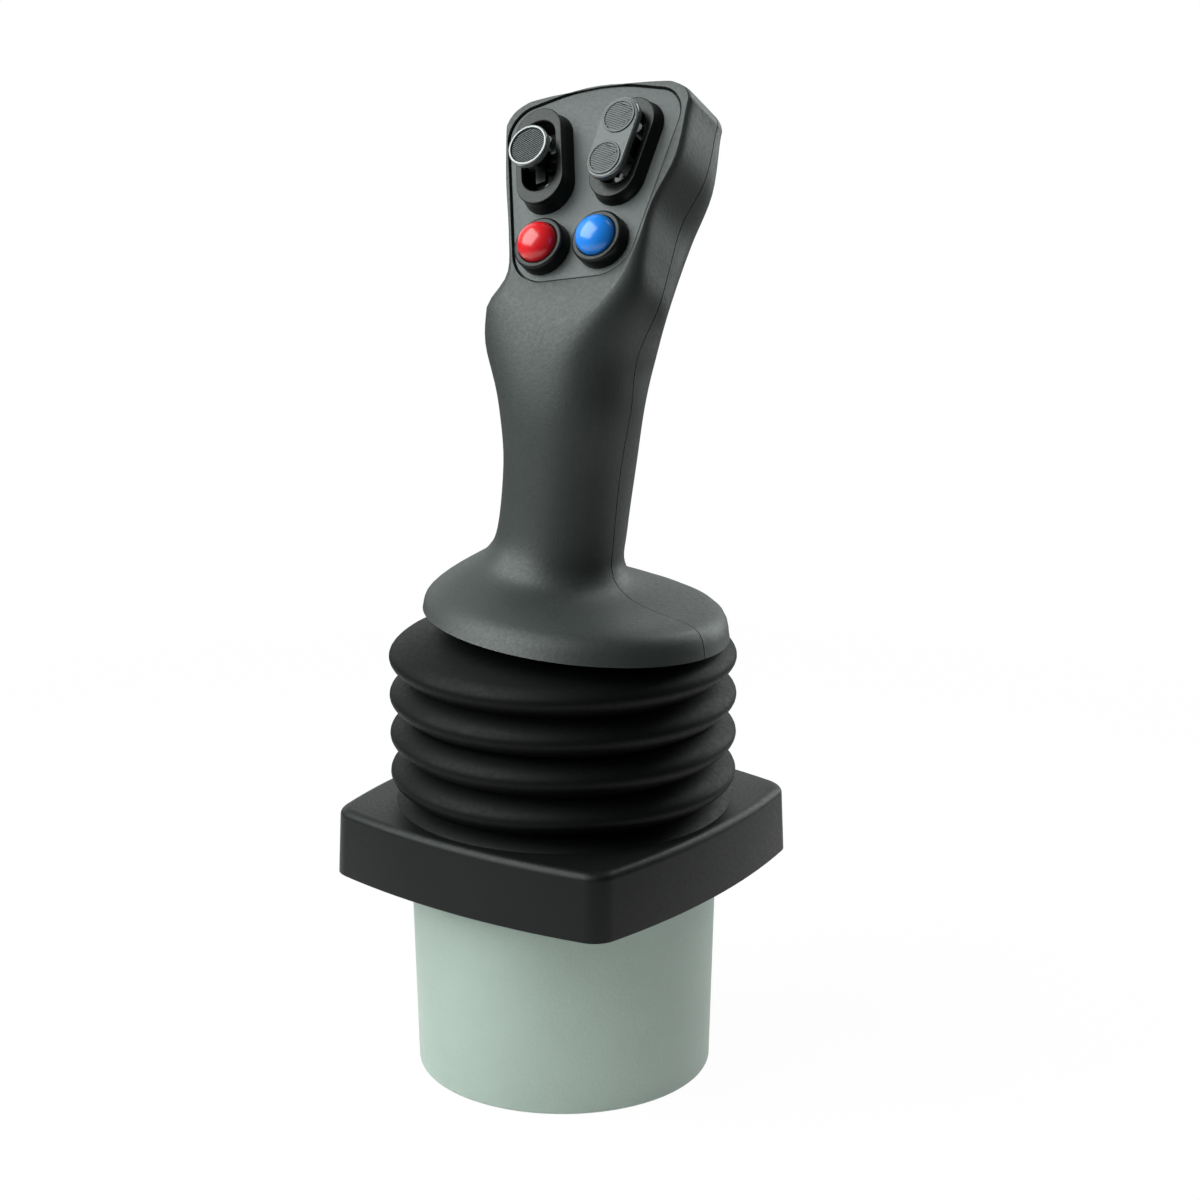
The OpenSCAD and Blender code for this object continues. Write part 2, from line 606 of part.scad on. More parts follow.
// The hollow of both shells, open at the skirt and closed below the crown.
module inner_loft() {
    kept = [for (k = [0 : len(rings) - 3]) [for (i = [0 : 10]) rings[k][i] + (i == 2 ? (k == 0 ? -3 : inner_lift) : 0)]];
    loft(kept, 4.5, 364.5, 40, grip_wall);
}

// Places what follows in the control panel's plane: x to the operator's right, y up the panel, z out of it.
module at_plate(x = 0, y = 0, turn = 0) {
    translate(plate_foot) rotate([90 - head_tilt, 0, 0]) rotate([0, 0, head_roll])
        translate([x, y, 0]) rotate([0, 0, turn]) children();
}

// Outline of the control panel, drawn out by d: tapered, with an arched top and round corners.
function plate_outline(d) =
    let (lean = atan((plate_head_w - plate_foot_w) / 2 / plate_h),
        hx = plate_head_w / 2 - plate_head_r * (tan(lean) + 1 / cos(lean)),
        fx = plate_foot_w / 2 + plate_foot_r * (tan(lean) - 1 / cos(lean)),
        right = concat(arc([fx, plate_foot_r], plate_foot_r + d, -90, -lean, 8),
            arc([hx, plate_h - plate_head_r], plate_head_r + d, -lean, 70, 8)),
        top = [for (i = [1 : 9]) let (x = hx * (1 - i / 5)) [x, plate_h + d + plate_arch * (1 - pow(x / hx, 2))]])
    concat(right, top, [for (i = [len(right) - 1 : -1 : 0]) [-right[i].x, right[i].y]]);

rim_proud = 0.6;                                 // the shells' rim stands this far above the panel
ledge_t = 2;                                     // ledge that the panel rests on

module panel_cuts() at_plate() {
    translate([-60, -14, rim_proud]) cube([120, 100, 12]);
    translate([0, 0, -plate_t]) linear_extrude(12) polygon(plate_outline(plate_seam));
    translate([0, 0, -6]) linear_extrude(7) polygon(plate_outline(-ledge_t));
}

// The three screws that close the grip from behind; each frame's z points to the front and starts at the seam.
screw_x = 12;
screw_z = 132;
module at_waist_screws() {
    for (s = [-1, 1]) translate([s * screw_x, 4.5, screw_z]) rotate([90, 0, 0]) children();
}
module at_head_screw() {
    at_plate(0, plate_h - 0.2) translate([0, 0, -seam_depth]) children();
}
module at_grip_screws() {
    at_waist_screws() children();
    at_head_screw() children();
}

boss_r = 3.2;
seam_slack = 0.4;                                // the bosses of both shells stop this short of the seam
waist_boss = [14, 13.2];                         // length behind the seam, and before it
head_boss = [11, 10];

module boss(lengths, front) {
    if (front) translate([0, 0, seam_slack]) cylinder(r = boss_r, h = lengths[1] - seam_slack, $fn = 32);
    else translate([0, 0, -lengths[0]]) cylinder(r = boss_r, h = lengths[0] - seam_slack, $fn = 32);
}

screw_deep = 9;                                  // from the seam to the screw heads
screw_bite = 7;

// Half of the grip's body, hollowed, with two webs that sit on the clamp and three screw bosses.
// Zero in resize keeps every size; it only makes the whole shell one mesh.
module shell(front) {
    a0 = front ? 180 : 0;
    resize([0, 0, 0]) difference() {
        union() {
            difference() {
                loft(rings, a0, a0 + 180, ring_n, 0);
                difference() {
                    inner_loft();
                    for (z = [clamp_z + 2, clamp_z + clamp_h - 2 - web_t])
                        translate([-40, -40, z]) cube([80, 80, web_t]);
                }
            }
            at_waist_screws() boss(waist_boss, front);
            at_head_screw() boss(head_boss, front);
        }
        bore(clamp_r + fit, 60, clamp_z + clamp_h + 1);
        bore(shaft_r + gap, 60, shaft_top + gap);
        if (front) panel_cuts();
        if (front) at_grip_screws() bore(grip_screw_r + fit, -5, screw_bite + 1);
        if (!front) at_grip_screws() bore(grip_screw_r + gap, -screw_deep, 5);
        if (!front) at_grip_screws() bore(grip_screw_r * 1.8 + gap, -30, -screw_deep);
    }
}

module grip_front_shell() color([0.3, 0.32, 0.32]) shell(true);

module grip_rear_shell() color([0.3, 0.32, 0.32]) shell(false);

module grip_screws() color([0.3, 0.3, 0.31]) at_grip_screws() translate([0, 0, -screw_deep])
    pan_screw(grip_screw_r, screw_deep + screw_bite);

// ---------- control panel and its fixed pieces ----------

neck_wall = 1.2;                                 // neck of a bezel in the panel
button_neck_r = button_r + neck_wall;

module at_slot(side) at_plate(side * bezel_x, bezel_y, -side * bezel_fan) children();
module at_button(side) at_plate(side * button_x, button_y) children();

module face_plate() color([0.36, 0.38, 0.38]) difference() {
    at_plate() translate([0, 0, -plate_t]) linear_extrude(plate_t) polygon(plate_outline(0));
    for (side = [-1, 1]) {
        at_slot(side) translate([0, 0, -plate_t - eps]) linear_extrude(plate_t + 2 * eps)
            stadium(slot_r + neck_wall, slot_l);
        at_button(side) bore(button_neck_r, -plate_t, 0);
    }
}

pin_r = 1;
thumb_pin_z = 1.2;
rocker_pin_z = 1.6;
pin_half = slot_r + 1.5;

// Raised bezel with a slot; its foot is wider than its top.
module slot_bezel(side, h, pin_z) color([0.07, 0.07, 0.08]) at_slot(side) difference() {
    union() {
        hull() {
            linear_extrude(eps) stadium(bezel_r + bezel_draft, bezel_l, $fn = 40);
            translate([0, 0, h - 0.6]) linear_extrude(eps) stadium(bezel_r + 0.2, bezel_l, $fn = 40);
            translate([0, 0, h - eps]) linear_extrude(eps) stadium(bezel_r - 0.4, bezel_l, $fn = 40);
        }
        translate([0, 0, -plate_t]) linear_extrude(plate_t + eps) stadium(slot_r + neck_wall, slot_l);
    }
    translate([0, 0, -plate_t - eps]) linear_extrude(h + plate_t + 2 * eps) stadium(slot_r, slot_l);
    translate([0, 0, pin_z]) rotate([0, 90, 0]) bore(pin_r + fit, -pin_half, pin_half);
}

module left_bezel() slot_bezel(-1, left_bezel_h, thumb_pin_z);
module right_bezel() slot_bezel(1, right_bezel_h, rocker_pin_z);

neck_h = 6;                                      // neck of a round bezel below the panel

module round_bezel(side) color([0.07, 0.07, 0.08]) at_button(side) difference() {
    union() {
        cylinder(r1 = button_bezel_r + 0.3, r2 = button_bezel_r, h = button_bezel_h - 0.6);
        translate([0, 0, button_bezel_h - 0.6 - eps])
            cylinder(r1 = button_bezel_r, r2 = button_bezel_r - 0.6, h = 0.6);
        translate([0, 0, -plate_t - neck_h]) cylinder(r = button_neck_r, h = plate_t + neck_h + eps);
    }
    bore(button_r + fit, -plate_t - neck_h, button_bezel_h);
}

module red_bezel() round_bezel(-1);
module blue_bezel() round_bezel(1);

grip_board_z = -18;                              // front face of the circuit board in the head
grip_board_t = 1.6;
cavity_z = -8;
plunger_r = 1.5;
plunger_at = 8.3;
plunger_top = 0.4;

// Switch block under a slot, open towards the panel.
module slot_switch(side) color([0.16, 0.17, 0.2]) at_slot(side) difference() {
    translate([0, 0, grip_board_z]) linear_extrude(-plate_t - grip_board_z) stadium(slot_r + 1.2, slot_l);
    translate([0, 0, cavity_z]) linear_extrude(-cavity_z) stadium(slot_r, slot_l);
    for (s = [-1, 1]) translate([0, s * plunger_at, 0]) bore(plunger_r + fit, cavity_z - 4, cavity_z);
}

module left_switch() slot_switch(-1);
module right_switch() slot_switch(1);

module plungers(side) color([0.75, 0.76, 0.74]) at_slot(side) for (s = [-1, 1]) translate([0, s * plunger_at, 0])
    translate([0, 0, cavity_z - 4]) cylinder(r = plunger_r, h = plunger_top - cavity_z + 4);

module left_plungers() plungers(-1);
module right_plungers() plungers(1);

// Push-button switch body below its bezel, with a small stem.
module button_switch(side) color([0.16, 0.17, 0.2]) at_button(side) {
    translate([0, 0, grip_board_z]) cylinder(r = button_neck_r - 0.8, h = -plate_t - neck_h - grip_board_z);
    translate([0, 0, -plate_t - neck_h - eps]) cylinder(r = 2, h = 1.8);
}

module red_switch() button_switch(-1);
module blue_switch() button_switch(1);

module grip_board() color([0.1, 0.35, 0.2]) at_plate()
    translate([-15, 5, grip_board_z - grip_board_t]) cube([30, 44, grip_board_t]);

// ---------- hand controls that move ----------

// Narrow bar in the slot whose ends press the plungers.
module yoke(z, t) translate([-1.6, -plunger_at - 0.8, z]) cube([3.2, 2 * plunger_at + 1.6, t]);

module thumb_lever() color([0.3, 0.31, 0.32]) at_slot(-1) difference() {
    union() {
        translate([0, 0, thumb_pad_top - 2.6]) cylinder(r = thumb_pad_r, h = 2.6);
        translate([0, 0, thumb_pin_z + 2]) cylinder(r = 3.2, h = thumb_pad_top - 2 - thumb_pin_z - 2);
        translate([0, 0, thumb_pin_z]) rotate([0, 90, 0])
            translate([0, 0, -slot_r + 1]) cylinder(r = 3, h = 2 * slot_r - 2);
        yoke(thumb_pin_z + 2.2, 1.8);
    }
    translate([0, 0, thumb_pin_z]) rotate([0, 90, 0]) bore(pin_r, -slot_r, slot_r);
}

module hinge_pin(z) translate([0, 0, z]) rotate([0, 90, 0]) translate([0, 0, -pin_half + 0.1])
    cylinder(r = pin_r, h = 2 * pin_half - 0.2);

module thumb_pin() color([0.75, 0.76, 0.78]) at_slot(-1) hinge_pin(thumb_pin_z);

module rocker_cap() color([0.3, 0.31, 0.32]) at_slot(1) difference() {
    union() {
        translate([0, 0, rocker_top - 2.6]) linear_extrude(2.6) stadium(rocker_pad_r, rocker_half);
        translate([-slot_r + 1, -3, rocker_pin_z]) cube([2 * slot_r - 2, 6, rocker_top - 2 - rocker_pin_z]);
        translate([0, 0, rocker_pin_z]) rotate([0, 90, 0])
            translate([0, 0, -slot_r + 1]) cylinder(r = 3, h = 2 * slot_r - 2);
        yoke(rocker_pin_z + 1, 1.8);
    }
    translate([0, 0, rocker_pin_z]) rotate([0, 90, 0]) bore(pin_r, -slot_r, slot_r);
}

module rocker_pin() color([0.75, 0.76, 0.78]) at_slot(1) hinge_pin(rocker_pin_z);

// Domed cap that slides in its bezel.
module domed_cap(side, tint) color(tint) at_button(side) {
    translate([0, 0, -3.6]) cylinder(r = button_r, h = button_bezel_h + 3.2);
    translate([0, 0, button_bezel_h - 0.4]) intersection() {
        sphere(button_r);
        translate([0, 0, button_r / 2 - eps]) cube([2 * button_r, 2 * button_r, button_r], center = true);
    }
}

module red_button() domed_cap(-1, [0.85, 0.06, 0.1]);
module blue_button() domed_cap(1, [0.1, 0.5, 0.95]);

housing_can();
can_seal();
can_screws();
mounting_flange();
frame_screws();
bezel_cover();
bellows();
bellows_clamp();
gimbal_frame();
pitch_bushes();
pitch_spring();
pitch_sensor();
gate_plate();
control_board();
board_spacers();
connector_shell();
connector_insert();
connector_pins();
connector_nut();
gimbal_ring();
pitch_pins();
pitch_magnet();
roll_bushes();
roll_spring();
roll_sensor();
pivot_block();
roll_pins();
roll_magnet();
lever_shaft();
shaft_nut();
bellows_collar();
grip_clamp();
clamp_screw();
grip_front_shell();
grip_rear_shell();
grip_screws();
face_plate();
left_bezel();
right_bezel();
red_bezel();
blue_bezel();
left_switch();
right_switch();
left_plungers();
right_plungers();
red_switch();
blue_switch();
grip_board();
thumb_lever();
thumb_pin();
rocker_cap();
rocker_pin();
red_button();
blue_button();
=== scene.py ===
# %% [markdown]
# # An industrial joystick with a multi-function grip
# This lesson dresses a finished CAD model of a panel-mount joystick. The CAD solids say where each piece is
# and how it moves; here each visible piece gets the small radii, grain and gloss that make it look real.
# The first cell loads the CAD frame, bakes each solid's place into its mesh and removes the empties.

# %% Load the frame
import math

import bmesh
import bpy
from mathutils import Matrix, Vector


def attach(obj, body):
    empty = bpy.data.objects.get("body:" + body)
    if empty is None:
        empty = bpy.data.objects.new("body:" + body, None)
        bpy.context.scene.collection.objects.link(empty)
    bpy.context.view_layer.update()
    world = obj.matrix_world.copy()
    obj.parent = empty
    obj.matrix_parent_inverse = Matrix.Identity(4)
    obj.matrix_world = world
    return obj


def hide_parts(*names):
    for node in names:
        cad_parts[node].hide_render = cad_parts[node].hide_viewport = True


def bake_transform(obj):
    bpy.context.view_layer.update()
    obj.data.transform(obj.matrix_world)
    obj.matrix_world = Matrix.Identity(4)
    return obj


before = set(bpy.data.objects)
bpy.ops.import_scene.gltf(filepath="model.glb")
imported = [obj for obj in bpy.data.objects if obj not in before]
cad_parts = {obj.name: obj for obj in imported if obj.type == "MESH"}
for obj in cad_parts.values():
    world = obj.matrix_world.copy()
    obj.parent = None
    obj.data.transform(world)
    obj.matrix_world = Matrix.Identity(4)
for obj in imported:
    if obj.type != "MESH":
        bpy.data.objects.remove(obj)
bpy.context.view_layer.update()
MM = 0.001

# %% [markdown]
# The joystick stands on a plain white sweep. The camera has a long lens and looks from the operator's right,
# a little above the grip, so that the control panel, the bellows and the housing all show.

# %% Camera
scene = bpy.context.scene
scene.view_settings.view_transform = "Standard"

camera_data = bpy.data.cameras.new("camera")
camera_data.lens = 84
camera_data.sensor_width = 36
camera = bpy.data.objects.new("camera", camera_data)
scene.collection.objects.link(camera)
camera.location = Vector((485.0, -650.9, 310.3)) * MM
camera.rotation_euler = (math.radians(90 - 15.64), 0, math.radians(35.9))
scene.camera = camera
print("the camera is", round(camera.location.length, 3), "m from the origin")

# %% [markdown]
# A finish is a small node tree round one Principled shader. Real moulded plastic is never one flat colour:
# it has a fine grain that breaks up the highlights, and slow changes of shade where it has been handled.
# The helper below builds that tree from a few plain numbers, and every pattern reads Object coordinates,
# so it stays fixed to the piece while the piece moves.

# %% A helper for finishes
def finish(name, colour, rough, metal=0.0, shade=0.12, shade_scale=35, grain=0.0, grain_scale=900,
           rough_change=0.06, coat=0.0, brushed=None, specular=0.5):
    """A procedural material: colour with slow changes of shade, and a fine grain in the bump and roughness."""
    material = bpy.data.materials.new(name)
    material.use_nodes = True
    nodes, links = material.node_tree.nodes, material.node_tree.links
    shader = nodes["Principled BSDF"]
    shader.inputs["Metallic"].default_value = metal
    shader.inputs["Specular IOR Level"].default_value = specular
    shader.inputs["Coat Weight"].default_value = coat
    shader.inputs["Coat Roughness"].default_value = 0.08
    coords = nodes.new("ShaderNodeTexCoord").outputs["Object"]

    stretch = nodes.new("ShaderNodeMapping")
    stretch.inputs["Scale"].default_value = brushed or (1, 1, 1)
    links.new(coords, stretch.inputs["Vector"])

    def noise(scale, detail):
        texture = nodes.new("ShaderNodeTexNoise")
        texture.inputs["Scale"].default_value = scale
        texture.inputs["Detail"].default_value = detail
        links.new(stretch.outputs["Vector"], texture.inputs["Vector"])
        return texture.outputs["Fac"]

    def spread(factor, low, high):
        ramp = nodes.new("ShaderNodeMapRange")
        ramp.inputs["From Min"].default_value = 0.3
        ramp.inputs["From Max"].default_value = 0.7
        ramp.inputs["To Min"].default_value = low
        ramp.inputs["To Max"].default_value = high
        links.new(factor, ramp.inputs["Value"])
        return ramp.outputs["Result"]

    slow = noise(shade_scale, 4)
    tint = nodes.new("ShaderNodeMix")
    tint.data_type = "RGBA"
    tint.blend_type = "MULTIPLY"
    tint.inputs[0].default_value = 1
    tint.inputs[6].default_value = (*colour, 1)
    grey = nodes.new("ShaderNodeCombineColor")
    level = spread(slow, 1 - shade, 1 + shade)
    for channel in grey.inputs:
        links.new(level, channel)
    links.new(grey.outputs["Color"], tint.inputs[7])
    links.new(tint.outputs[2], shader.inputs["Base Color"])

    fine = noise(grain_scale, 3)
    links.new(spread(fine, rough - rough_change, rough + rough_change), shader.inputs["Roughness"])
    if grain:
        bump = nodes.new("ShaderNodeBump")
        bump.inputs["Strength"].default_value = grain
        bump.inputs["Distance"].default_value = 0.2 * MM
        links.new(fine, bump.inputs["Height"])
        links.new(bump.outputs["Normal"], shader.inputs["Normal"])
    return material


# %% [markdown]
# The grip is moulded in a dark cool-grey nylon with a fine spark-eroded grain. The pads are the same plastic
# polished smoother. Their lips are glossier still and are also given a lighter grey, which is a painted highlight on
# the rounded edges. The bezels and the cover are black, and the bellows is moulded rubber with a soft sheen.

# %% Finishes of the plastic and rubber pieces
grip_plastic = finish("grained_grey_plastic", (0.024, 0.028, 0.027), 0.5, shade=0.12, grain=0.3)
panel_plastic = finish("satin_grey_plastic", (0.042, 0.048, 0.048), 0.48, shade=0.08, grain=0.25, grain_scale=1200)
# The lip's grey is lighter than the pad's. This is a painted highlight for the reflection on the polished rounding, on
# top of its real gloss and coat.
lip_plastic_painted_highlight = finish("polished_lip_painted_highlight", (0.10, 0.105, 0.105), 0.16, shade=0.05, coat=1.0, specular=1.0,
                     rough_change=0.02)
pad_plastic = finish("polished_grey_plastic", (0.04, 0.045, 0.046), 0.35, shade=0.08, grain=0.05)
bezel_plastic = finish("black_bezel_plastic", (0.004, 0.0045, 0.0045), 0.36, shade=0.2, grain=0.08, specular=0.3)
cover_plastic = finish("black_cover_plastic", (0.004, 0.0045, 0.0045), 0.45, shade=0.15, grain=0.12, grain_scale=1100,
                       specular=0.25)
boot_rubber = finish("bellows_rubber", (0.0016, 0.0018, 0.0018), 0.55, shade=0.2, grain=0.1, grain_scale=700,
                     specular=0.13)
seal_rubber = finish("seal_rubber", (0.010, 0.010, 0.010), 0.7, grain=0.1)
light_plastic = finish("light_plunger_plastic", (0.25, 0.26, 0.25), 0.4, shade=0.05)
switch_plastic = finish("switch_plastic", (0.03, 0.032, 0.036), 0.45, shade=0.1)
red_gloss = finish("red_gloss", (0.62, 0.006, 0.012), 0.3, shade=0.05, coat=0.4, rough_change=0.02)
blue_gloss = finish("blue_gloss", (0.008, 0.2, 0.72), 0.3, shade=0.05, coat=0.4, rough_change=0.02)

# %% [markdown]
# The housing is cast aluminium, blasted to a matte greenish grey. The lever, the nuts and the screws are
# turned, so their finish has a grain that runs round or along them. The circuit boards are green laminate.

# %% Finishes of the metal pieces and boards
cast_metal = finish("blasted_cast_aluminium", (0.36, 0.43, 0.385), 0.55, metal=0.35, shade=0.05, shade_scale=30,
                    grain=0.5, grain_scale=1300)
turned_metal = finish("turned_aluminium", (0.62, 0.63, 0.65), 0.3, metal=1, shade=0.08, grain=0.12,
                      brushed=(1, 1, 12), grain_scale=500)
steel = finish("zinc_plated_steel", (0.6, 0.6, 0.62), 0.28, metal=1, shade=0.12, grain=0.05)
dark_steel = finish("blackened_steel", (0.08, 0.08, 0.085), 0.35, metal=0.9, shade=0.15, grain=0.08)
brass = finish("brass", (0.72, 0.5, 0.2), 0.3, metal=1, shade=0.1, grain=0.05)
board = finish("circuit_board", (0.02, 0.13, 0.06), 0.35, shade=0.3, shade_scale=220, coat=0.3)
print(len(bpy.data.materials), "finishes are ready")

# %% [markdown]
# Every new piece is made by the same few lines. A bmesh holds the shape while operators work on it, in
# millimetres, and `finish_piece` turns it into an object: smooth faces, with sharp edges where two faces
# meet at a steep angle. It also hangs the piece on the body it rides on and hides the CAD nodes it stands for.

# %% Helpers that make pieces
def finish_piece(name, bm, body, materials, replaces=(), sharp=35):
    """Turns a bmesh in millimetres into a finished object in metres."""
    bmesh.ops.scale(bm, vec=(MM, MM, MM), verts=bm.verts)
    limit = math.radians(sharp)
    for face in bm.faces:
        face.smooth = True
    for edge in bm.edges:
        edge.smooth = not (len(edge.link_faces) == 2 and edge.calc_face_angle(0) > limit)
    mesh = bpy.data.meshes.new(name)
    bm.to_mesh(mesh)
    bm.free()
    piece = bpy.data.objects.new(name, mesh)
    scene.collection.objects.link(piece)
    for material in materials:
        mesh.materials.append(material)
    if isinstance(body, str):
        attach(piece, body)
    if replaces:
        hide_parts(*replaces)
    print(f"{name}: {len(mesh.polygons)} faces")
    return piece


def tidy(bm):
    """Merges doubles and turns every face outward."""
    bmesh.ops.remove_doubles(bm, verts=bm.verts, dist=0.002)
    bmesh.ops.recalc_face_normals(bm, faces=bm.faces)
    return bm


def rounded(corners, steps=5):
    """Corners are (place..., radius); gives the closed outline with each corner rounded by its radius."""
    spots = [Vector(corner[:-1]) for corner in corners]
    points = []
    for i, here in enumerate(spots):
        radius = corners[i][-1]
        if not radius:
            points.append(here)
            continue
        before = (spots[i - 1] - here).normalized()
        after = (spots[(i + 1) % len(spots)] - here).normalized()
        half = before.angle(after) / 2
        centre = here + (before + after).normalized() * (radius / math.sin(half))
        first = here + before * (radius / math.tan(half)) - centre
        last = here + after * (radius / math.tan(half)) - centre
        sweep = math.pi - 2 * half
        side = (last - first * math.cos(sweep)) / math.sin(sweep)
        for k in range(steps + 1):
            turn = sweep * k / steps
            points.append(centre + first * math.cos(turn) + side * math.sin(turn))
    return points


def chain(bm, points, closed=True):
    """Adds vertices joined by edges: the outline that an operator then sweeps."""
    verts = [bm.verts.new(point) for point in points]
    pairs = list(zip(verts, verts[1:])) + ([(verts[-1], verts[0])] if closed else [])
    return verts, [bm.edges.new(pair) for pair in pairs]


def spun(corners, segments=96, steps=5, bm=None):
    """A turned piece: a closed outline of (radius, height, corner radius) spun once about Z."""
    bm = bm or bmesh.new()
    verts, edges = chain(bm, [(p.x, 0, p.y) for p in rounded(corners, steps)])
    bmesh.ops.spin(bm, geom=verts + edges, cent=(0, 0, 0), axis=(0, 0, 1), angle=math.tau,
                   steps=segments, use_merge=True)
    return tidy(bm)


def lofted(rows, closed=True, bm=None):
    """Skins rows of points: each row is extruded from the row before it, and then moved to its own points."""
    bm = bm or bmesh.new()
    order = bm.verts.layers.int.get("order") or bm.verts.layers.int.new("order")
    verts, edges = chain(bm, rows[0], closed)
    for i, vert in enumerate(verts):
        vert[order] = i
    for row in rows[1:]:
        made = bmesh.ops.extrude_edge_only(bm, edges=edges)["geom"]
        edges = [item for item in made if isinstance(item, bmesh.types.BMEdge)]
        for item in made:
            if isinstance(item, bmesh.types.BMVert):
                item.co = row[item[order]]
    return bm


# %% [markdown]
# The control panel leans back and rolls a little, so what sits on it is drawn flat and then placed with one
# matrix. The values are the same as in the CAD source.

# %% Place of the control panel
HEAD_TILT, HEAD_ROLL = math.radians(33), math.radians(12)
PLATE_FOOT = Vector((4.1, -1.9, 181.0))
SLOT_X, SLOT_Y, SLOT_FAN = 13.8, 39.0, 12
BUTTON_X, BUTTON_Y = 9.9, 10.6


def on_panel(x=0, y=0, turn=0):
    """Places a drawing on the panel: x to the operator's right, y up the panel, z out of it."""
    return (Matrix.Translation(PLATE_FOOT) @ Matrix.Rotation(math.pi / 2 - HEAD_TILT, 4, "X")
            @ Matrix.Rotation(HEAD_ROLL, 4, "Z") @ Matrix.Translation((x, y, 0))
            @ Matrix.Rotation(math.radians(turn), 4, "Z"))


at_left_slot = on_panel(-SLOT_X, SLOT_Y, SLOT_FAN)
at_right_slot = on_panel(SLOT_X, SLOT_Y, -SLOT_FAN)
at_red = on_panel(-BUTTON_X, BUTTON_Y)
at_blue = on_panel(BUTTON_X, BUTTON_Y)


def placed(bm, matrix):
    """Moves a drawing to its place on the panel."""
    bmesh.ops.transform(bm, matrix=matrix, verts=bm.verts)
    return bm


print("the panel faces", [round(v, 2) for v in on_panel().to_3x3() @ Vector((0, 0, 1))])

# %% [markdown]
# The housing is a cast can that hangs below the control desk. It is a body of rotation, so its section is
# drawn once and spun. The floor lies above the rim, which keeps the connector out of harm's way.

# %% Housing
CAN_TOP_R, CAN_FOOT_R, CAN_DEPTH, CAN_WALL = 46.9, 45.4, 64.6, 2.4
FLOOR_Z, FLOOR_TOP = -54.6, -51.6
can_inner = CAN_FOOT_R - CAN_WALL
housing = spun([(can_inner, -CAN_DEPTH, 0.6), (CAN_FOOT_R, -CAN_DEPTH, 1.2), (CAN_TOP_R, -0.1, 0.3),
                (CAN_TOP_R - CAN_WALL, -0.1, 0), (can_inner, FLOOR_TOP, 2), (11.1, FLOOR_TOP, 0),
                (11.1, FLOOR_Z, 0), (can_inner, FLOOR_Z, 2)], segments=128)
finish_piece("housing", housing, "base", [cast_metal], ["housing_can"])

# %% [markdown]
# The cover is a shallow tray with slightly bowed sides and round corners, and a round neck for the bellows.
# Each row of the loft is either the bowed outline or a circle, read at the same angles, so that the flat top
# runs cleanly from one to the other.

# %% Cover
COVER_HALF, COVER_BOW, COVER_CORNER, COVER_H, COVER_WALL, COVER_DRAFT = 55, 4.3, 8, 21, 2.4, 0.6
NECK_R = 47.8


def arc(centre, radius, first, last, steps):
    """Points on an arc, from the first angle to the last one in degrees."""
    angles = [math.radians(first + (last - first) * k / steps) for k in range(steps + 1)]
    return [Vector((centre[0] + radius * math.cos(a), centre[1] + radius * math.sin(a))) for a in angles]


def bowed_square(half, corner):
    """Outline of the cover, with half its width to the middle of a side."""
    middle = half - corner
    end = middle - COVER_BOW
    big = (end ** 2 + COVER_BOW ** 2) / (2 * COVER_BOW)
    lean = math.degrees(math.asin(end / big))
    quarter = (arc((middle - big, 0), big + corner, -lean, lean, 16)
               + arc((end, end), corner, lean + 2, 88 - lean, 12))
    return [Matrix.Rotation(math.radians(90 * q), 2) @ p for q in range(4) for p in quarter]


def cover_row(half, z, corner=COVER_CORNER):
    return [(p.x, p.y, z) for p in bowed_square(half, corner)]


def neck_row(radius, z):
    directions = [p.normalized() for p in bowed_square(COVER_HALF, COVER_CORNER)]
    return [(radius * d.x, radius * d.y, z) for d in directions]


inside = COVER_HALF - COVER_WALL
EDGE_R, NECK_EDGE_R = 2.5, 0.7
rows = [cover_row(inside, 0, COVER_CORNER - COVER_WALL), cover_row(COVER_HALF + COVER_DRAFT - 0.3, 0),
        cover_row(COVER_HALF + COVER_DRAFT, 0.3)]
for k in range(9):
    turn = math.pi / 2 * k / 8
    rows.append(cover_row(COVER_HALF - EDGE_R * (1 - math.cos(turn)), COVER_H - EDGE_R * (1 - math.sin(turn))))
rows.append(neck_row(NECK_R + NECK_EDGE_R + 0.5, COVER_H))
for k in range(5):
    turn = math.pi / 2 * k / 4
    rows.append(neck_row(NECK_R + NECK_EDGE_R * (1 - math.sin(turn)), COVER_H - NECK_EDGE_R * (1 - math.cos(turn))))
rows += [neck_row(NECK_R, COVER_H - COVER_WALL), cover_row(inside, COVER_H - COVER_WALL, COVER_CORNER - COVER_WALL)]
cover = tidy(lofted(rows + rows[:1]))
finish_piece("cover", cover, "base", [cover_plastic], ["bezel_cover"])

# %% [markdown]
# The bellows is one rubber moulding on the real lever, whose lower half follows the pitch axis and upper half
# the roll axis. Here it is two rings that meet in the middle groove. Neither is hung on a moving body, so both
# stand still. Each is a thin wall spun about the lever.

# %% Bellows
CREST_R, GROOVE_R, CREST_Z, CREST_PITCH, RUBBER_T = 52.6, 46.2, 30.3, 12.1, 1.6
MEETING_Z = CREST_Z + 1.5 * CREST_PITCH


def boot_radius(z):
    wave = (1 + math.cos(math.tau * (z - CREST_Z) / CREST_PITCH)) / 2
    return GROOVE_R + (CREST_R - GROOVE_R) * wave ** 0.5


def boot_wall(outer):
    """A closed outline: the outer line, and the same line drawn in by the rubber's thickness."""
    inner = [(r - RUBBER_T, z) for r, z in outer]
    return [(r, z, 0) for r, z in outer + inner[::-1]]


WAVE_STEPS = 16


def boot_line(first, last):
    """Points of the folded wall between two heights."""
    steps = round((last - first) / CREST_PITCH * WAVE_STEPS)
    heights = [first + (last - first) * k / steps for k in range(steps + 1)]
    return [(boot_radius(z), z) for z in heights]


foot_line = [(46.15, 9.0), (46.15, 15.0)]
lower_boot = spun(boot_wall(foot_line + boot_line(CREST_Z - 1.5 * CREST_PITCH + 5, MEETING_Z)), segments=144)
lower_bellows = finish_piece("lower_bellows", lower_boot, None, [boot_rubber], ["bellows"], sharp=60)
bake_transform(lower_bellows)

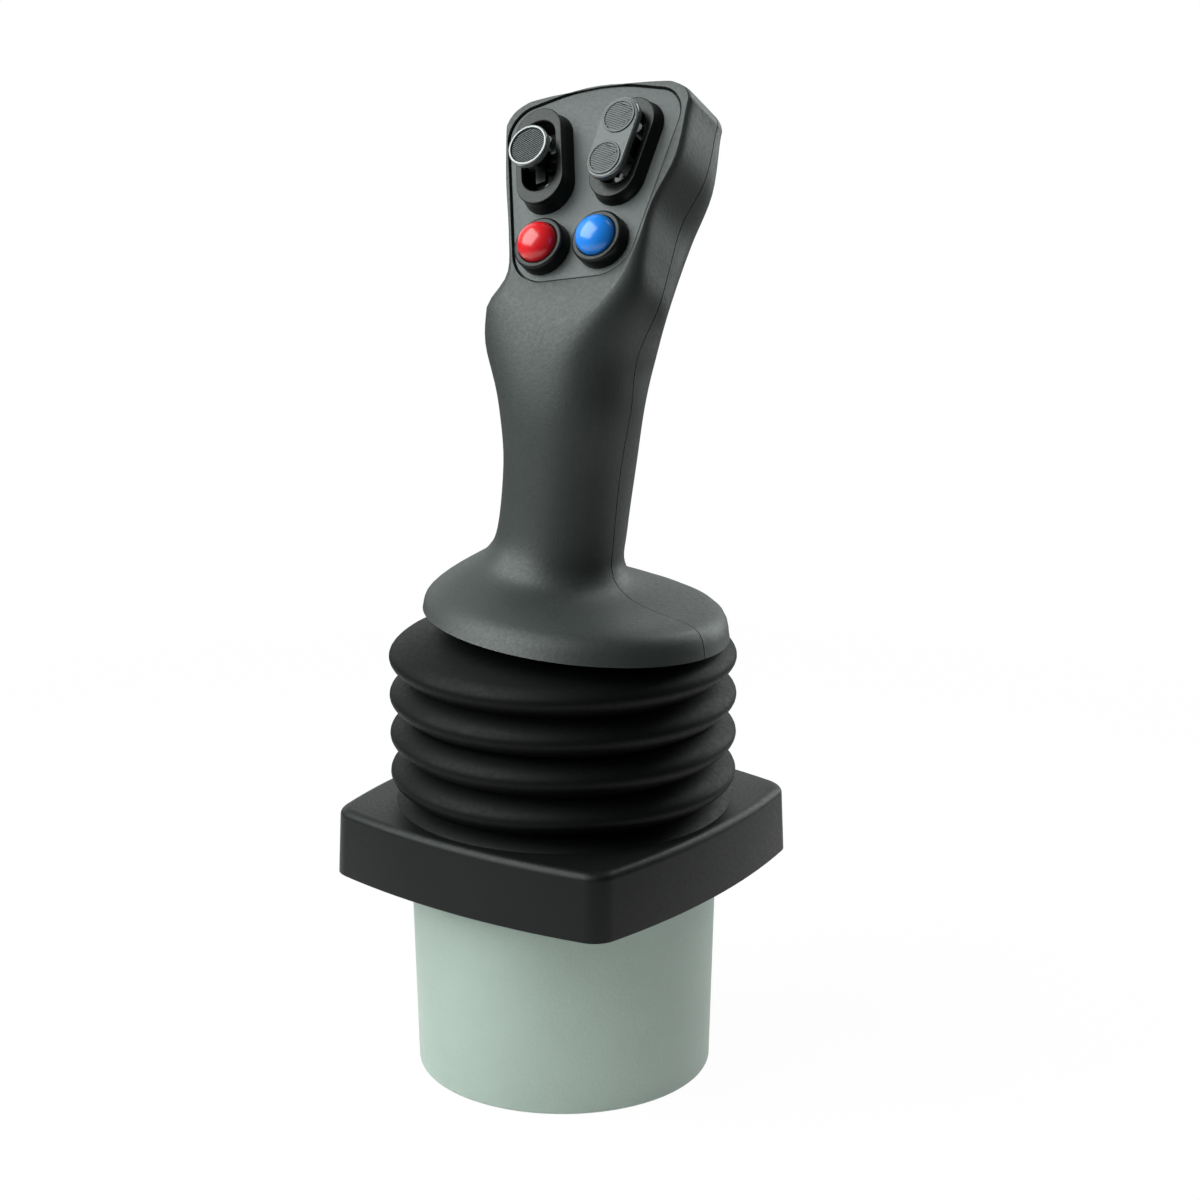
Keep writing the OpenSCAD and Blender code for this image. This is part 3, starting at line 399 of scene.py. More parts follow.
crest_top = CREST_Z + 3 * CREST_PITCH
roof_line = [(CREST_R - 12, crest_top + 8), (CREST_R - 19, crest_top + 11), (CREST_R - 26, crest_top + 13.4),
             (20, crest_top + 15), (17.6, crest_top + 16), (17.6, crest_top + 22.4)]
upper_boot = spun(boot_wall(boot_line(MEETING_Z, crest_top + 4.2) + roof_line), segments=144)
upper_bellows = finish_piece("upper_bellows", upper_boot, None, [boot_rubber], ["bellows"], sharp=60)
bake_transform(upper_bellows)

# %% [markdown]
# The grip's two shells follow a bent spine: a wide skirt, a slim waist, a finger ledge, and a head that
# spreads round the panel. Each ring of the loft has its own centre, tilt, half width and depths, and
# smoothly interpolated rings between the stations give the hand-friendly curves.

# %% Rings of the grip
SKIRT_R, WAIST_W, GRIP_WALL = 47, 19, 2.2
SEAM_DEPTH, RIM = 16, 1.4
PLATE_FOOT_W, PLATE_HEAD_W, PLATE_H, PLATE_ARCH = 36.7, 63.4, 59.5, 3.2
HEAD_HALF_W = PLATE_HEAD_W / 2 + 0.3
HEAD_BACK = 29.5 - SEAM_DEPTH
CROWN_R = 8.7
CROWN_V = PLATE_H + 0.9 - CROWN_R


def axes(tilt, roll):
    """Right, up and back directions of a ring that leans back by tilt and to the side by roll, in degrees."""
    t, r = math.radians(tilt), math.radians(roll)
    return (Vector((math.cos(r), math.sin(r) * math.sin(t), math.sin(r) * math.cos(t))),
            Vector((-math.sin(r), math.cos(r) * math.sin(t), math.cos(r) * math.cos(t))),
            Vector((0, math.cos(t), -math.sin(t))))


def head_ring(v, dx, half_w, back, powers):
    """A ring of the head, v up the panel and dx to its right, with its front and back corner powers."""
    right, up, behind = axes(33, 12)
    centre = PLATE_FOOT + v * up + dx * right + SEAM_DEPTH * behind
    return [*centre, 33, 12, half_w, SEAM_DEPTH + RIM, back, *powers]


def mixed(a, b, t):
    return a + (b - a) * t


stations = [
    [5, 0, 77.5, 3, -4.5, SKIRT_R, SKIRT_R - 2, SKIRT_R - 2, 1, 1],
    [3, 0.5, 84, 3, -2, SKIRT_R - 2.8, SKIRT_R - 7, SKIRT_R - 4, 1, 1],
    [-2.4, 1, 90.5, 2, -7.5, SKIRT_R - 19.3, 27, 25.4, 1, 1],
    [-3.1, 1.5, 96, 1, -7, WAIST_W + 1.7, 21.5, 20.3, 0.95, 1],
    [-1.6, 2.5, 105, 0, -2, WAIST_W - 0.3, 19.5, 19.6, 0.9, 0.95],
    [0.1, 4, 125, 0, 0, WAIST_W - 0.6, 20, 20.7, 0.85, 0.9],
    [0.9, 5.5, 142, 3, 1, WAIST_W + 1.1, 21.5, 18.7, 0.8, 0.85],
    [1.05, 7.5, 156, 11, 4, WAIST_W + 1.5, 21, 21.7, 0.7, 0.8],
    head_ring(-5, 0.5, WAIST_W + 2.1, HEAD_BACK - 0.3, (0.4, 0.67)),
    head_ring(8, 0.3, PLATE_FOOT_W / 2 + 4.85, HEAD_BACK + 1.1, (0.2, 0.67)),
    head_ring(22, 0, mixed(PLATE_FOOT_W, PLATE_HEAD_W, 0.4) / 2 + 1.7, HEAD_BACK + 4.3, (0.12, 0.67)),
    head_ring(36, 1.15, mixed(PLATE_FOOT_W, PLATE_HEAD_W, 0.62) / 2 + 3.3, HEAD_BACK + 1.4, (0.12, 0.67))]
for turn in (0, 25, 50, 75, 90):
    rise, run = math.sin(math.radians(turn)), 1 - math.cos(math.radians(turn))
    bulge = 1.1 * math.sin(2 * math.radians(turn))
    stations.append(head_ring(CROWN_V + (CROWN_R - 0.3) * rise, 0.4, HEAD_HALF_W - CROWN_R * run + bulge,
                              HEAD_BACK - 1.5, (0.12, 0.74)))


def smooth(p0, p1, p2, p3, t):
    """Catmull-Rom curve through p1 and p2, value by value."""
    return [0.5 * (2 * b + (c - a) * t + (2 * a - 5 * b + 4 * c - d) * t ** 2 + (3 * b - a - 3 * c + d) * t ** 3)
            for a, b, c, d in zip(p0, p1, p2, p3)]


RING_STEPS = 5
last = len(stations) - 1
rings = [smooth(stations[max(0, i - 1)], stations[i], stations[i + 1], stations[min(last, i + 2)], j / RING_STEPS)
         for i in range(last) for j in range(RING_STEPS)] + [stations[last]]
print(len(rings), "rings along the grip's spine")

# %% [markdown]
# One rule turns a ring and an angle into a point. Its corner power makes the section rounder or squarer,
# and the finger ledge swells out of the left side above the waist. A shell is an outer sheet and an inner
# sheet of the same rings, joined along their edges, so it has a real wall and a clean seam.

# %% Sheets of the grip
LEDGE_OUT, LEDGE_Z, LEDGE_ANGLE = 10, 168, 208
SEAM_HALF = 0.16


def power(value, exponent):
    return math.copysign(abs(value) ** exponent, value)


def ledge(z, angle):
    side = max(0, math.cos(math.radians(angle - LEDGE_ANGLE))) ** 3
    return LEDGE_OUT * math.exp(-((z - LEDGE_Z) / (6 if z > LEDGE_Z else 17)) ** 2) * side


def grip_point(ring, angle, wall, in_front, flat=1.0):
    """A point of a ring; flat below 1 draws it in towards the seam, to close the crown."""
    x0, y0, z0, tilt, roll, half_w, front, back, front_power, back_power = ring
    right, up, behind = axes(tilt, roll)
    c, s = math.cos(math.radians(angle)), math.sin(math.radians(angle))
    corner = front_power if in_front else back_power
    x = (half_w - wall) * power(c, corner) if abs(c) > 1e-6 else 0
    if c < 0:
        x -= ledge(z0, angle)
    depth = (front if in_front else back) - (wall * (2.4 if in_front and z0 > 175 else 1))
    y = depth * abs(s) ** corner * flat if abs(s) > 1e-6 else 0
    y = math.copysign(max(y, SEAM_HALF), -1 if in_front else 1)
    arch = PLATE_ARCH * (1 - (x / HEAD_HALF_W) ** 2) * min(1, max(0, (z0 - 205) / 20))
    crown_wall = wall * min(1, max(0, (z0 - 212) / 15))
    return Vector((x0, y0, z0)) + x * right + y * behind + (arch - crown_wall) * up


AROUND = 72
SCREW_X, SCREW_Z = 12, 132
PAD_T, PAD_H = 7.5, 9


def grip_sheet(first_angle, wall):
    """Rows of one half of the grip, from the skirt up and over the crown to the seam."""
    angles = [first_angle + 180 * k / AROUND for k in range(AROUND + 1)]
    in_front = first_angle == 180
    rows = []
    for ring in rings:
        pad = 0 if in_front or not wall else PAD_T * math.exp(-((ring[2] - SCREW_Z) / PAD_H) ** 4)
        rows.append([grip_point(ring, a, wall + pad, in_front) for a in angles])
    rows += [[grip_point(rings[-1], a, wall, in_front, flat) for a in angles] for flat in (0.85, 0.6, 0.3, 0)]
    return rows


def border_edges(bm):
    return [edge for edge in bm.edges if len(edge.link_faces) == 1]


def grip_shell(first_angle):
    """Outer and inner sheets, with the gap between their borders bridged."""
    bm = lofted(grip_sheet(first_angle, 0), closed=False)
    lofted(grip_sheet(first_angle, GRIP_WALL), closed=False, bm=bm)
    bmesh.ops.bridge_loops(bm, edges=border_edges(bm))
    return tidy(bm)


def cut_away(shape, cutter):
    """Cuts one closed shape out of another, with a Boolean modifier on an object that is then removed."""
    passing = []
    for bm in (shape, cutter):
        mesh = bpy.data.meshes.new("passing")
        bm.to_mesh(mesh)
        bm.free()
        passing.append(bpy.data.objects.new("passing", mesh))
        scene.collection.objects.link(passing[-1])
    body, tool = passing
    body.modifiers.new("cut", "BOOLEAN").object = tool
    result = bmesh.new()
    result.from_object(body, bpy.context.evaluated_depsgraph_get())
    for item in passing:
        mesh = item.data
        bpy.data.objects.remove(item)
        bpy.data.meshes.remove(mesh)
    return result


SCREW_DEEP, SCREW_SEAT_R = 9, 3.0
screw_spots = [Matrix.Translation((x, 4.5, SCREW_Z)) @ Matrix.Rotation(math.pi / 2, 4, "X")
               for x in (-SCREW_X, SCREW_X)]
screw_spots.append(on_panel(0, PLATE_H - 0.2) @ Matrix.Translation((0, 0, -SEAM_DEPTH)))
screw_seats = bmesh.new()
for spot in screw_spots:
    bmesh.ops.create_cone(screw_seats, cap_ends=True, segments=40, radius1=SCREW_SEAT_R, radius2=SCREW_SEAT_R,
                          depth=20, matrix=spot @ Matrix.Translation((0, 0, -SCREW_DEEP - 10)))
rear = cut_away(grip_shell(0), screw_seats)
print("rear shell has", len(border_edges(rear)), "open edges")
finish_piece("grip_rear", rear, "grip", [grip_plastic], ["grip_rear_shell"])

# %% [markdown]
# The front shell also carries the panel. Its outer sheet is cut flat just above the panel, the cut is filled
# round the panel's outline, and the outline is pushed in to make the recess.

# %% Front shell
PLATE_FOOT_R, PLATE_HEAD_R, PLATE_T, PLATE_SEAM, RIM_PROUD = 12, 9.5, 2.4, 0.5, 0.6


def plate_outline(grow, z, fine=2):
    """Outline of the panel drawn out by grow: tapered, with an arched top and round corners."""
    lean = math.atan((PLATE_HEAD_W - PLATE_FOOT_W) / 2 / PLATE_H)
    head_x = PLATE_HEAD_W / 2 - PLATE_HEAD_R * (math.tan(lean) + 1 / math.cos(lean))
    foot_x = PLATE_FOOT_W / 2 + PLATE_FOOT_R * (math.tan(lean) - 1 / math.cos(lean))
    degrees = math.degrees(lean)
    right = (arc((foot_x, PLATE_FOOT_R), PLATE_FOOT_R + grow, -90, -degrees, 8 * fine)
             + arc((head_x, PLATE_H - PLATE_HEAD_R), PLATE_HEAD_R + grow, -degrees, 70, 8 * fine))
    top = []
    for i in range(1, 10):
        x = head_x * (1 - i / 5)
        top.append(Vector((x, PLATE_H + grow + PLATE_ARCH * (1 - (x / head_x) ** 2))))
    outline = right + top + [Vector((-p.x, p.y)) for p in reversed(right)]
    return [Vector((p.x, p.y, z)) for p in outline]


panel_matrix = on_panel()
panel_normal = (panel_matrix.to_3x3() @ Vector((0, 0, 1))).normalized()
front = lofted(grip_sheet(180, 0), closed=False)
outside = set(border_edges(front))
cut = bmesh.ops.bisect_plane(front, geom=front.verts[:] + front.edges[:] + front.faces[:], dist=0.001,
                             plane_co=panel_matrix @ Vector((0, 0, RIM_PROUD)), plane_no=panel_normal,
                             clear_outer=True)
cut_edges = [e for e in cut["geom_cut"] if isinstance(e, bmesh.types.BMEdge)]
print(len(cut_edges), "edges round the cut")
_, hole_edges = chain(front, [panel_matrix @ p for p in plate_outline(PLATE_SEAM, RIM_PROUD)])
bmesh.ops.triangle_fill(front, use_beauty=True, edges=cut_edges + hole_edges)
deep = bmesh.ops.extrude_edge_only(front, edges=hole_edges)["geom"]
bmesh.ops.translate(front, vec=panel_normal * -(PLATE_T + RIM_PROUD + 0.1),
                    verts=[g for g in deep if isinstance(g, bmesh.types.BMVert)])
bmesh.ops.edgeloop_fill(front, edges=[g for g in deep if isinstance(g, bmesh.types.BMEdge)])
lofted(grip_sheet(180, GRIP_WALL), closed=False, bm=front)
bmesh.ops.bridge_loops(front, edges=border_edges(front))
tidy(front)
print("front shell has", len(border_edges(front)), "open edges")


def on_plane(vert):
    return abs((vert.co - panel_matrix @ Vector((0, 0, RIM_PROUD))).dot(panel_normal)) < 0.01


rim_edges = [e for e in front.edges if on_plane(e.verts[0]) and on_plane(e.verts[1])
             and len(e.link_faces) == 2 and e.calc_face_angle(0) > 0.35]
bmesh.ops.bevel(front, geom=rim_edges, offset=0.45, offset_type="OFFSET", affect="EDGES", segments=3,
                profile=0.5, material=-1, clamp_overlap=True)
finish_piece("grip_front", front, "grip", [grip_plastic], ["grip_front_shell"])

# %% [markdown]
# The panel is a separate moulding that drops into the recess. It is a flat sheet with four openings, so its
# outlines are drawn and filled, the face is extruded, and only the outer edge gets a small radius.

# %% Panel
SLOT_R, SLOT_L, NECK_WALL = 5.8, 6, 1.2
BUTTON_R = 6.2


def stadium(radius, half, z=0, count=32):
    """Outline with two round ends and straight sides along y."""
    ends = arc((0, half), radius, 0, 180, count // 2) + arc((0, -half), radius, 180, 360, count // 2)
    return [Vector((p.x, p.y, z)) for p in ends]


panel = bmesh.new()
_, panel_edges = chain(panel, plate_outline(0, 0))
for x, turn in ((-SLOT_X, SLOT_FAN), (SLOT_X, -SLOT_FAN)):
    spot = Matrix.Translation((x, SLOT_Y, 0)) @ Matrix.Rotation(math.radians(turn), 4, "Z")
    panel_edges += chain(panel, [spot @ p for p in stadium(SLOT_R + NECK_WALL, SLOT_L)])[1]
for x in (-BUTTON_X, BUTTON_X):
    panel_edges += chain(panel, [(p.x + x, p.y + BUTTON_Y, 0) for p in arc((0, 0), BUTTON_R + NECK_WALL, 0, 350, 35)])[1]
bmesh.ops.triangle_fill(panel, use_beauty=True, edges=panel_edges)
made = bmesh.ops.extrude_face_region(panel, geom=panel.faces[:])["geom"]
bmesh.ops.translate(panel, vec=(0, 0, -PLATE_T), verts=[g for g in made if isinstance(g, bmesh.types.BMVert)])
tidy(panel)
outer_ring = {tuple(round(v, 3) for v in p) for p in plate_outline(0, 0)}
outer_edges = [e for e in panel.edges if all(tuple(round(v, 3) for v in vert.co) in outer_ring for vert in e.verts)
               and e.calc_face_angle(0) > 1]
bmesh.ops.bevel(panel, geom=outer_edges, offset=0.4, offset_type="OFFSET", affect="EDGES", segments=3,
                profile=0.5, material=-1, clamp_overlap=True)
finish_piece("control_panel", placed(panel, panel_matrix), "grip", [panel_plastic], ["face_plate"])

# %% [markdown]
# Each slot bezel is a tall collar with a stadium outline. The collar's radius and straight half length
# change from foot to lip to slot, so the rows of its loft are stadiums of one and the same point count.

# %% Slot bezels
BEZEL_R, BEZEL_L = 7.8, 8.3


def slot_bezel(height):
    """Rows from the foot up the hollow side, over the lip and down inside the slot."""
    section = [(BEZEL_R + 0.95, BEZEL_L, 0.02, 0), (BEZEL_R + 0.75, BEZEL_L, 0.9, 0.4),
               (BEZEL_R + 0.1, BEZEL_L, height * 0.55, 3), (BEZEL_R + 0.1, BEZEL_L, height, 0.35),
               (SLOT_R, SLOT_L, height, 0.5), (SLOT_R, SLOT_L, -PLATE_T - 0.1, 0),
               (SLOT_R + NECK_WALL - 0.05, SLOT_L, -PLATE_T - 0.1, 0), (SLOT_R + NECK_WALL - 0.05, SLOT_L, 0.02, 0)]
    rows = [stadium(p.x, p.y, p.z, 48) for p in rounded(section, 4)]
    return tidy(lofted(rows + rows[:1]))


finish_piece("left_slot_bezel", placed(slot_bezel(6), at_left_slot), "grip",
             [bezel_plastic], ["left_bezel"])
finish_piece("right_slot_bezel", placed(slot_bezel(4.5), at_right_slot), "grip",
             [bezel_plastic], ["right_bezel"])

# %% [markdown]
# The two push-buttons are turned shapes: a black ring with a rounded lip, and a domed cap that slides in it.

# %% Round bezels and domed buttons
BUTTON_BEZEL_R, BUTTON_BEZEL_H = 8.2, 4.8
bezel_section = [(BUTTON_BEZEL_R + 0.3, 0.02, 0.2), (BUTTON_BEZEL_R, BUTTON_BEZEL_H, 1),
                 (BUTTON_R + 0.08, BUTTON_BEZEL_H, 0.5), (BUTTON_R + 0.08, -8.4, 0), (7.35, -8.4, 0), (7.35, 0.02, 0)]
DOME_H, CAP_FOOT = 4.9, 0.15
cap_section = [(0, CAP_FOOT, 0), (BUTTON_R, CAP_FOOT, 0), (BUTTON_R, BUTTON_BEZEL_H - 0.1, 0)]
for k in range(13):
    turn = math.pi / 2 * k / 12
    cap_section.append((6.18 * math.cos(turn), BUTTON_BEZEL_H + 0.1 + DOME_H * math.sin(turn), 0))
for name, spot, body, slot, gloss in (("red", at_red, "red_cap", "red_gloss", red_gloss),
                                      ("blue", at_blue, "blue_cap", "blue_gloss", blue_gloss)):
    finish_piece(name + "_button_bezel", placed(spun(bezel_section, 64), spot), "grip",
                 [bezel_plastic], [name + "_bezel"])
    finish_piece(name + "_dome", placed(spun(cap_section, 64, 2), spot), body, [gloss], [name + "_button"])

# %% [markdown]
# The thumb pad is a polished disc on a stalk. Fifteen fine ribs across its sunken face keep a gloved thumb
# from slipping, and the stalk rocks on a pin in the slot.

# %% Thumb lever
THUMB_R, THUMB_TOP, THUMB_PIN_Z = 6.6, 12.6, 1.2


def ribs(bm, radius, z, count, turn=0.0, height=0.35):
    """Fine ridges across a round face: each is a blunt bar as long as the face is wide there."""
    step = 2 * radius / (count + 1)
    aim = Matrix.Rotation(math.radians(turn), 3, "Z")
    for i in range(count):
        y = -radius + step * (i + 1)
        half = math.sqrt(radius ** 2 - y ** 2)
        section = [(y - step * 0.42, z - 0.1), (y - step * 0.14, z + height), (y + step * 0.14, z + height),
                   (y + step * 0.42, z - 0.1)]
        lofted([[aim @ Vector((x, a, b)) for a, b in section] for x in (-half, half)], bm=bm)
        bm.verts.ensure_lookup_table()
        bmesh.ops.contextual_create(bm, geom=bm.verts[-8:-4])
        bmesh.ops.contextual_create(bm, geom=bm.verts[-4:])


def bar(bm, low, high):
    """A straight bar between two corners."""
    low, high = Vector(low), Vector(high)
    verts = bmesh.ops.create_cube(bm, size=1)["verts"]
    bmesh.ops.scale(bm, vec=high - low, verts=verts)
    bmesh.ops.translate(bm, vec=(low + high) / 2, verts=verts)


def cross_barrel(bm, radius, half, z):
    """The round hub that turns on the pin."""
    made = bmesh.ops.create_cone(bm, cap_ends=True, segments=32, radius1=radius, radius2=radius, depth=2 * half,
                                 matrix=Matrix.Translation((0, 0, z)) @ Matrix.Rotation(math.pi / 2, 4, "Y"))
    return made["verts"]


def paint(bm, index, chosen):
    """Gives another finish to the faces whose centre is chosen."""
    for face in bm.faces:
        if chosen(face.calc_center_median()):
            face.material_index = index


thumb = spun([(0, THUMB_TOP - 0.75, 0), (THUMB_R - 1.1, THUMB_TOP - 0.75, 0), (THUMB_R - 0.9, THUMB_TOP, 0.25),
              (THUMB_R, THUMB_TOP, 0.45), (THUMB_R, THUMB_TOP - 2.6, 0.6), (3.2, THUMB_TOP - 2.6, 0.6),
              (3.2, THUMB_PIN_Z + 2, 0), (0, THUMB_PIN_Z + 2, 0)], 72)
ribs(thumb, THUMB_R - 1.15, THUMB_TOP - 0.75, 16, turn=12, height=0.28)
cross_barrel(thumb, 3, SLOT_R - 1, THUMB_PIN_Z)
bar(thumb, (-1.6, -9.1, THUMB_PIN_Z + 2.2), (1.6, 9.1, THUMB_PIN_Z + 4))
bmesh.ops.recalc_face_normals(thumb, faces=thumb.faces)
paint(thumb, 1, lambda p: p.z < THUMB_TOP - 2.6)
# The rounded lip takes the lighter grey, a painted highlight along the pad's edge.
paint(thumb, 2, lambda p: p.xy.length > THUMB_R - 0.75 and p.z > THUMB_TOP - 1.6)
finish_piece("thumb_pad", placed(thumb, at_left_slot), "thumb",
             [pad_plastic, bezel_plastic, lip_plastic_painted_highlight], ["thumb_lever"])

# %% [markdown]
# The rocker on the right has one long cap with two round inset pads, one above the other.

# %% Rocker
ROCKER_R, ROCKER_HALF, ROCKER_TOP, ROCKER_PIN_Z = 6.3, 6.7, 10.4, 1.6
rocker_section = [(ROCKER_R - 2, ROCKER_HALF, ROCKER_TOP, 0), (ROCKER_R, ROCKER_HALF, ROCKER_TOP, 0.7),
                  (ROCKER_R, ROCKER_HALF, ROCKER_TOP - 2.6, 0.5), (ROCKER_R - 2, ROCKER_HALF, ROCKER_TOP - 2.6, 0)]
rocker_rows = [stadium(p.x, p.y, p.z, 48) for p in rounded(rocker_section, 5)]
rocker = lofted(rocker_rows)
for rim in (0, -1):
    border = [e for e in border_edges(rocker) if abs(e.verts[0].co.z - rocker_rows[rim][0].z) < 0.01]
    bmesh.ops.edgeloop_fill(rocker, edges=border)
tidy(rocker)
for y in (-ROCKER_HALF, ROCKER_HALF):
    disc = spun([(0, ROCKER_TOP + 0.05, 0), (4.5, ROCKER_TOP + 0.05, 0), (4.7, ROCKER_TOP + 0.4, 0.1),
                 (5.3, ROCKER_TOP + 0.4, 0.2), (5.4, ROCKER_TOP - 0.5, 0), (0, ROCKER_TOP - 0.5, 0)], 48)
    ribs(disc, 4.55, ROCKER_TOP + 0.05, 13, turn=-12, height=0.26)
    bmesh.ops.translate(disc, vec=(0, y, 0), verts=disc.verts)
    spare = bpy.data.meshes.new("disc")
    disc.to_mesh(spare)
    disc.free()
    rocker.from_mesh(spare)
    bpy.data.meshes.remove(spare)
cross_barrel(rocker, 3, SLOT_R - 1, ROCKER_PIN_Z)
bar(rocker, (-4.8, -3, ROCKER_PIN_Z), (4.8, 3, ROCKER_TOP - 2))
bar(rocker, (-1.6, -9.1, ROCKER_PIN_Z + 1), (1.6, 9.1, ROCKER_PIN_Z + 2.8))
bmesh.ops.recalc_face_normals(rocker, faces=rocker.faces)
paint(rocker, 1, lambda p: p.z < ROCKER_TOP - 2.8)
# The rounded lips of the cap take the lighter grey, a painted highlight along its edges.
paint(rocker, 2, lambda p: (math.hypot(p.x, max(0, abs(p.y) - ROCKER_HALF)) > ROCKER_R - 0.5
                            and ROCKER_TOP - 1 < p.z < ROCKER_TOP - 0.05))
finish_piece("rocker", placed(rocker, at_right_slot), "rocker",
             [pad_plastic, bezel_plastic, lip_plastic_painted_highlight], ["rocker_cap"])

# %% [markdown]
# The remaining CAD solids have the right shape already: shafts, screws, bushes, boards and switches. They
# keep their meshes and get a fitting finish.

# %% Finishes of the CAD solids
cad_finishes = {
    turned_metal: ["mounting_flange", "gimbal_ring", "grip_clamp", "pivot_block", "connector_shell", "gimbal_frame"],
    steel: ["can_screws", "frame_screws", "bellows_clamp", "pitch_spring", "gate_plate", "connector_nut",
            "pitch_pins", "roll_spring", "roll_pins", "lever_shaft", "shaft_nut", "thumb_pin", "rocker_pin"],
    dark_steel: ["pitch_magnet", "roll_magnet", "clamp_screw", "grip_screws"],
    brass: ["pitch_bushes", "board_spacers", "connector_pins", "roll_bushes"],
    board: ["pitch_sensor", "control_board", "roll_sensor", "grip_board"],
    seal_rubber: ["can_seal"],
    switch_plastic: ["connector_insert", "bellows_collar", "left_switch", "right_switch", "red_switch", "blue_switch"],
    light_plastic: ["left_plungers", "right_plungers"],
}
for material, names in cad_finishes.items():
    for name in names:
        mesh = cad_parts[name].data
        mesh.materials.clear()
        mesh.materials.append(material)
print(sum(map(len, cad_finishes.values())), "CAD solids have their finish")

# %% [markdown]
# The set is a white paper sweep on a dim studio floor, with a white backdrop behind the joystick. The paper
# is plain diffuse white near the object, where it takes the soft shadow, and turns into white light further
# out, where only the camera looks. Glossy and clear surfaces are shown the same white as the camera.

# %% Helper that tells what the camera, glossy and clear surfaces see
def seen_directly(nodes, links):
    """1 for a camera, glossy or transmission ray, and 0 for the rays that light the scene."""
    rays = nodes.new("ShaderNodeLightPath")
    total = rays.outputs["Is Camera Ray"]
    for kind in ("Is Glossy Ray", "Is Transmission Ray"):
        most = nodes.new("ShaderNodeMath")
        most.operation = "MAXIMUM"
        links.new(total, most.inputs[0])
        links.new(rays.outputs[kind], most.inputs[1])
        total = most.outputs["Value"]
    return total, rays.outputs["Is Camera Ray"]


def ramped(nodes, links, value, low, high, to_low=0.0, to_high=1.0):
    """Maps a value from one span to another, without going past its ends."""
    span = nodes.new("ShaderNodeMapRange")
    for name, number in (("From Min", low), ("From Max", high), ("To Min", to_low), ("To Max", to_high)):
        span.inputs[name].default_value = number
    links.new(value, span.inputs["Value"])
    return span.outputs["Result"]


def product(nodes, links, first, second):
    times = nodes.new("ShaderNodeMath")
    times.operation = "MULTIPLY"
    for socket, value in zip(times.inputs, (first, second)):
        if isinstance(value, float):
            socket.default_value = value
        else:
            links.new(value, socket)
    return times.outputs["Value"]


# %% Floor
floor_bm = bmesh.new()
bmesh.ops.create_grid(floor_bm, x_segments=1, y_segments=1, size=40)
bmesh.ops.translate(floor_bm, vec=(0, 0, -CAN_DEPTH * MM), verts=floor_bm.verts)
floor_mesh = bpy.data.meshes.new("floor")
floor_bm.to_mesh(floor_mesh)
floor_bm.free()
floor = bpy.data.objects.new("floor", floor_mesh)
scene.collection.objects.link(floor)

PAPER_R, PAPER_FADE_R = 0.32, 0.55
floor_material = bpy.data.materials.new("white_paper")
floor_material.use_nodes = True
nodes, links = floor_material.node_tree.nodes, floor_material.node_tree.links
paper = nodes["Principled BSDF"]
paper.inputs["Roughness"].default_value = 0.9
paper.inputs["Specular IOR Level"].default_value = 0.2
place = nodes.new("ShaderNodeTexCoord")
distance = nodes.new("ShaderNodeVectorMath")
distance.operation = "LENGTH"
links.new(place.outputs["Object"], distance.inputs[0])
far = ramped(nodes, links, distance.outputs["Value"], PAPER_R, PAPER_FADE_R)
shade = ramped(nodes, links, far, 0, 1, 0.82, 0.12)
grey = nodes.new("ShaderNodeCombineColor")
for channel in grey.inputs:
    links.new(shade, channel)
links.new(grey.outputs["Color"], paper.inputs["Base Color"])
seen, camera_ray = seen_directly(nodes, links)
white_light = nodes.new("ShaderNodeEmission")
near_share = product(nodes, links, seen, ramped(nodes, links, far, 0, 1, 0.97, 0.0))
far_share = product(nodes, links, camera_ray, ramped(nodes, links, far, 0, 1, 0.97, 1.0))
share = nodes.new("ShaderNodeMath")
share.operation = "MAXIMUM"
links.new(near_share, share.inputs[0])
links.new(far_share, share.inputs[1])
mix_floor = nodes.new("ShaderNodeMixShader")
links.new(share.outputs["Value"], mix_floor.inputs["Fac"])
links.new(paper.outputs["BSDF"], mix_floor.inputs[1])
links.new(white_light.outputs["Emission"], mix_floor.inputs[2])
links.new(mix_floor.outputs["Shader"], nodes["Material Output"].inputs["Surface"])
floor_mesh.materials.append(floor_material)

# %% [markdown]
# The world is the room round the set: white on the backdrop's side, and dim behind the camera, which is
# what leaves the soft dark band down the front of the grip. The camera itself sees plain white everywhere.

